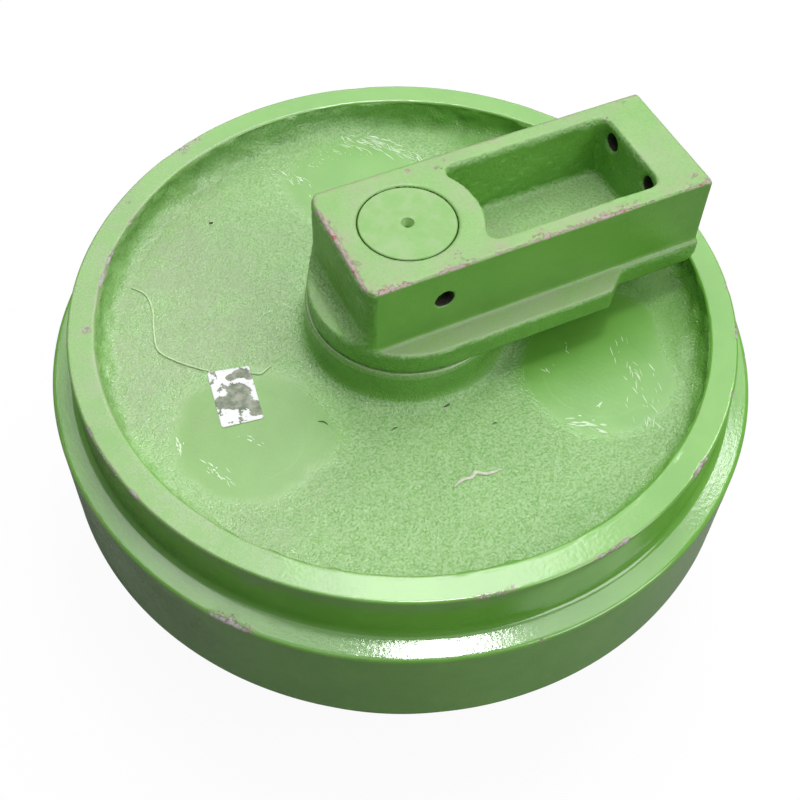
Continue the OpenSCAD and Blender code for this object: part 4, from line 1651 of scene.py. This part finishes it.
LIGHTS = (
    SoftLight("sky", 62.0, 53.0, 3.0, 4.2, 1.55),
    SoftLight("window", 57.0, 66.5, 3.2, 0.9, 3.2),
    SoftLight("skylight", -1.0, 84.4, 3.2, 0.45, 32.0),
    SoftLight("pane", 14.0, 50.0, 3.2, 0.5, 6.0),
    SoftLight("ceiling", -118.0, 80.0, 2.8, 3.0, 0.62),
    SoftLight("fill", -58.0, 36.0, 3.0, 1.7, 3.4),
)


@dataclass
class Studio:
    """Floor, soft lights, world and camera. The camera's place is in metres."""

    floor_z: float = -188.7
    floor_half: float = 9000.0
    floor_lit: Colour = (0.25, 0.25, 0.245)
    floor_mirrored: Colour = (0.26, 0.26, 0.25)
    floor_shown: Colour = (0.95, 0.95, 0.95)
    world_tint: Colour = (0.92, 0.97, 1.0)
    eye: tuple[float, float, float] = (-0.30247, -0.58588, 0.86249)
    right: tuple[float, float, float] = (0.90344, -0.42798, 0.02507)
    down: tuple[float, float, float] = (-0.33147, -0.73440, -0.59227)
    forward: tuple[float, float, float] = (0.27190, 0.52677, -0.80535)
    lens: float = 56.924
    sensor: float = 36.0
    ambient: float = 0.14
    shadow_share: float = 0.06

    def build_floor(self) -> None:
        """Lays the floor: white with a light shadow to the camera, and a lit mid grey to all else."""
        board = NodeBoard("studio_floor")
        nodes, links = board.tree.nodes, board.tree.links
        path = nodes.new("ShaderNodeLightPath")
        board.finish(self.floor_lit, board.ramp(board.noise(300.0, 2.0), 0.0, 1.0, 0.85, 0.95), None)
        white, pale = nodes.new("ShaderNodeEmission"), nodes.new("ShaderNodeBsdfDiffuse")
        white.inputs["Strength"].default_value = 1.0
        pale.inputs["Color"].default_value = (*self.floor_shown, 1.0)
        paper = nodes.new("ShaderNodeBsdfDiffuse")
        paper.inputs["Color"].default_value = (*self.floor_mirrored, 1.0)
        shown, mirrored, choice = (nodes.new("ShaderNodeMixShader") for _ in range(3))
        shown.inputs[0].default_value = self.shadow_share
        links.new(white.outputs["Emission"], shown.inputs[1])
        links.new(pale.outputs["BSDF"], shown.inputs[2])
        glossy = board.math("MAXIMUM", path.outputs["Is Glossy Ray"], path.outputs["Is Transmission Ray"])
        links.new(glossy, mirrored.inputs[0])
        links.new(board.shader.outputs["BSDF"], mirrored.inputs[1])
        links.new(paper.outputs["BSDF"], mirrored.inputs[2])
        links.new(path.outputs["Is Camera Ray"], choice.inputs[0])
        links.new(mirrored.outputs["Shader"], choice.inputs[1])
        links.new(shown.outputs["Shader"], choice.inputs[2])
        links.new(choice.outputs["Shader"], board.output.inputs["Surface"])
        half = self.floor_half
        signs = ((-1, -1), (1, -1), (1, 1), (-1, 1))
        corners = np.array([(x * half, y * half, self.floor_z) for x, y in signs])
        floor = bpy.data.objects.new("studio_floor", Shell("studio_floor", corners, [[0, 1, 2, 3]]).mesh())
        bpy.context.scene.collection.objects.link(floor)
        floor.data.materials.append(board.material)

    def build_world(self) -> None:
        """Sets a dim even world, which the camera alone sees as white."""
        world = bpy.data.worlds.new("studio_world")
        bpy.context.scene.world = world
        world.use_nodes = True
        nodes, links = world.node_tree.nodes, world.node_tree.links
        nodes.clear()
        path = nodes.new("ShaderNodeLightPath")
        dim, white = nodes.new("ShaderNodeBackground"), nodes.new("ShaderNodeBackground")
        dim.inputs["Color"].default_value = (*self.world_tint, 1.0)
        dim.inputs["Strength"].default_value = self.ambient
        white.inputs["Color"].default_value = (1.0, 1.0, 1.0, 1.0)
        white.inputs["Strength"].default_value = 1.0
        mix, output = nodes.new("ShaderNodeMixShader"), nodes.new("ShaderNodeOutputWorld")
        links.new(path.outputs["Is Camera Ray"], mix.inputs[0])
        links.new(dim.outputs["Background"], mix.inputs[1])
        links.new(white.outputs["Background"], mix.inputs[2])
        links.new(mix.outputs["Shader"], output.inputs["Surface"])

    def build_camera(self) -> None:
        """Sets the camera at the fitted place."""
        lens = bpy.data.cameras.new("camera")
        lens.lens = self.lens
        lens.sensor_width = self.sensor
        camera = bpy.data.objects.new("camera", lens)
        bpy.context.scene.collection.objects.link(camera)
        up, back = -np.array(self.down), -np.array(self.forward)
        camera.matrix_world = upright_matrix(self.right, up, back, self.eye)
        bpy.context.scene.camera = camera

    def build(self) -> None:
        """Builds the whole studio."""
        self.build_floor()
        for light in LIGHTS:
            light.hang()
        self.build_world()
        self.build_camera()
        bpy.context.scene.view_settings.view_transform = "Standard"


def main() -> None:
    """Builds the studio and every piece in order."""
    Studio().build()
    casting_paint, cover_paint, bracket_paint = (
        finish.material() for finish in (CASTING_PAINT, COVER_PAINT, BRACKET_PAINT))
    plan = CoverPlan()
    wheel = WheelCasting(plan)
    wheel.build(casting_paint)
    discs = [CoreCover(plan, side, index) for side in Side for index in range(plan.count)]
    for disc in discs:
        disc.build(cover_paint)
    for side in Side:
        BracketCasting(side).build(bracket_paint)
    marks = WebMarks(wheel, [disc for disc in discs if disc.side is Side.UPPER])
    marks.build_label(LABEL_PAPER.material(), LABEL_FIBRE.material())
    marks.build_threads(THREAD_SHEEN_PAINT.material())
    marks.build_flakes(FLAKE_PAINT.material(), FIBRE_DARK.material())
    marks.build_strokes(STROKE_GLINT_PAINT.material())
    InnerParts({part: finish.material() for part, finish in INNER_FINISHES.items()}).dress()


if __name__ == "__main__":
    logging.basicConfig(level=logging.INFO, format="%(name)s %(message)s")
    main()
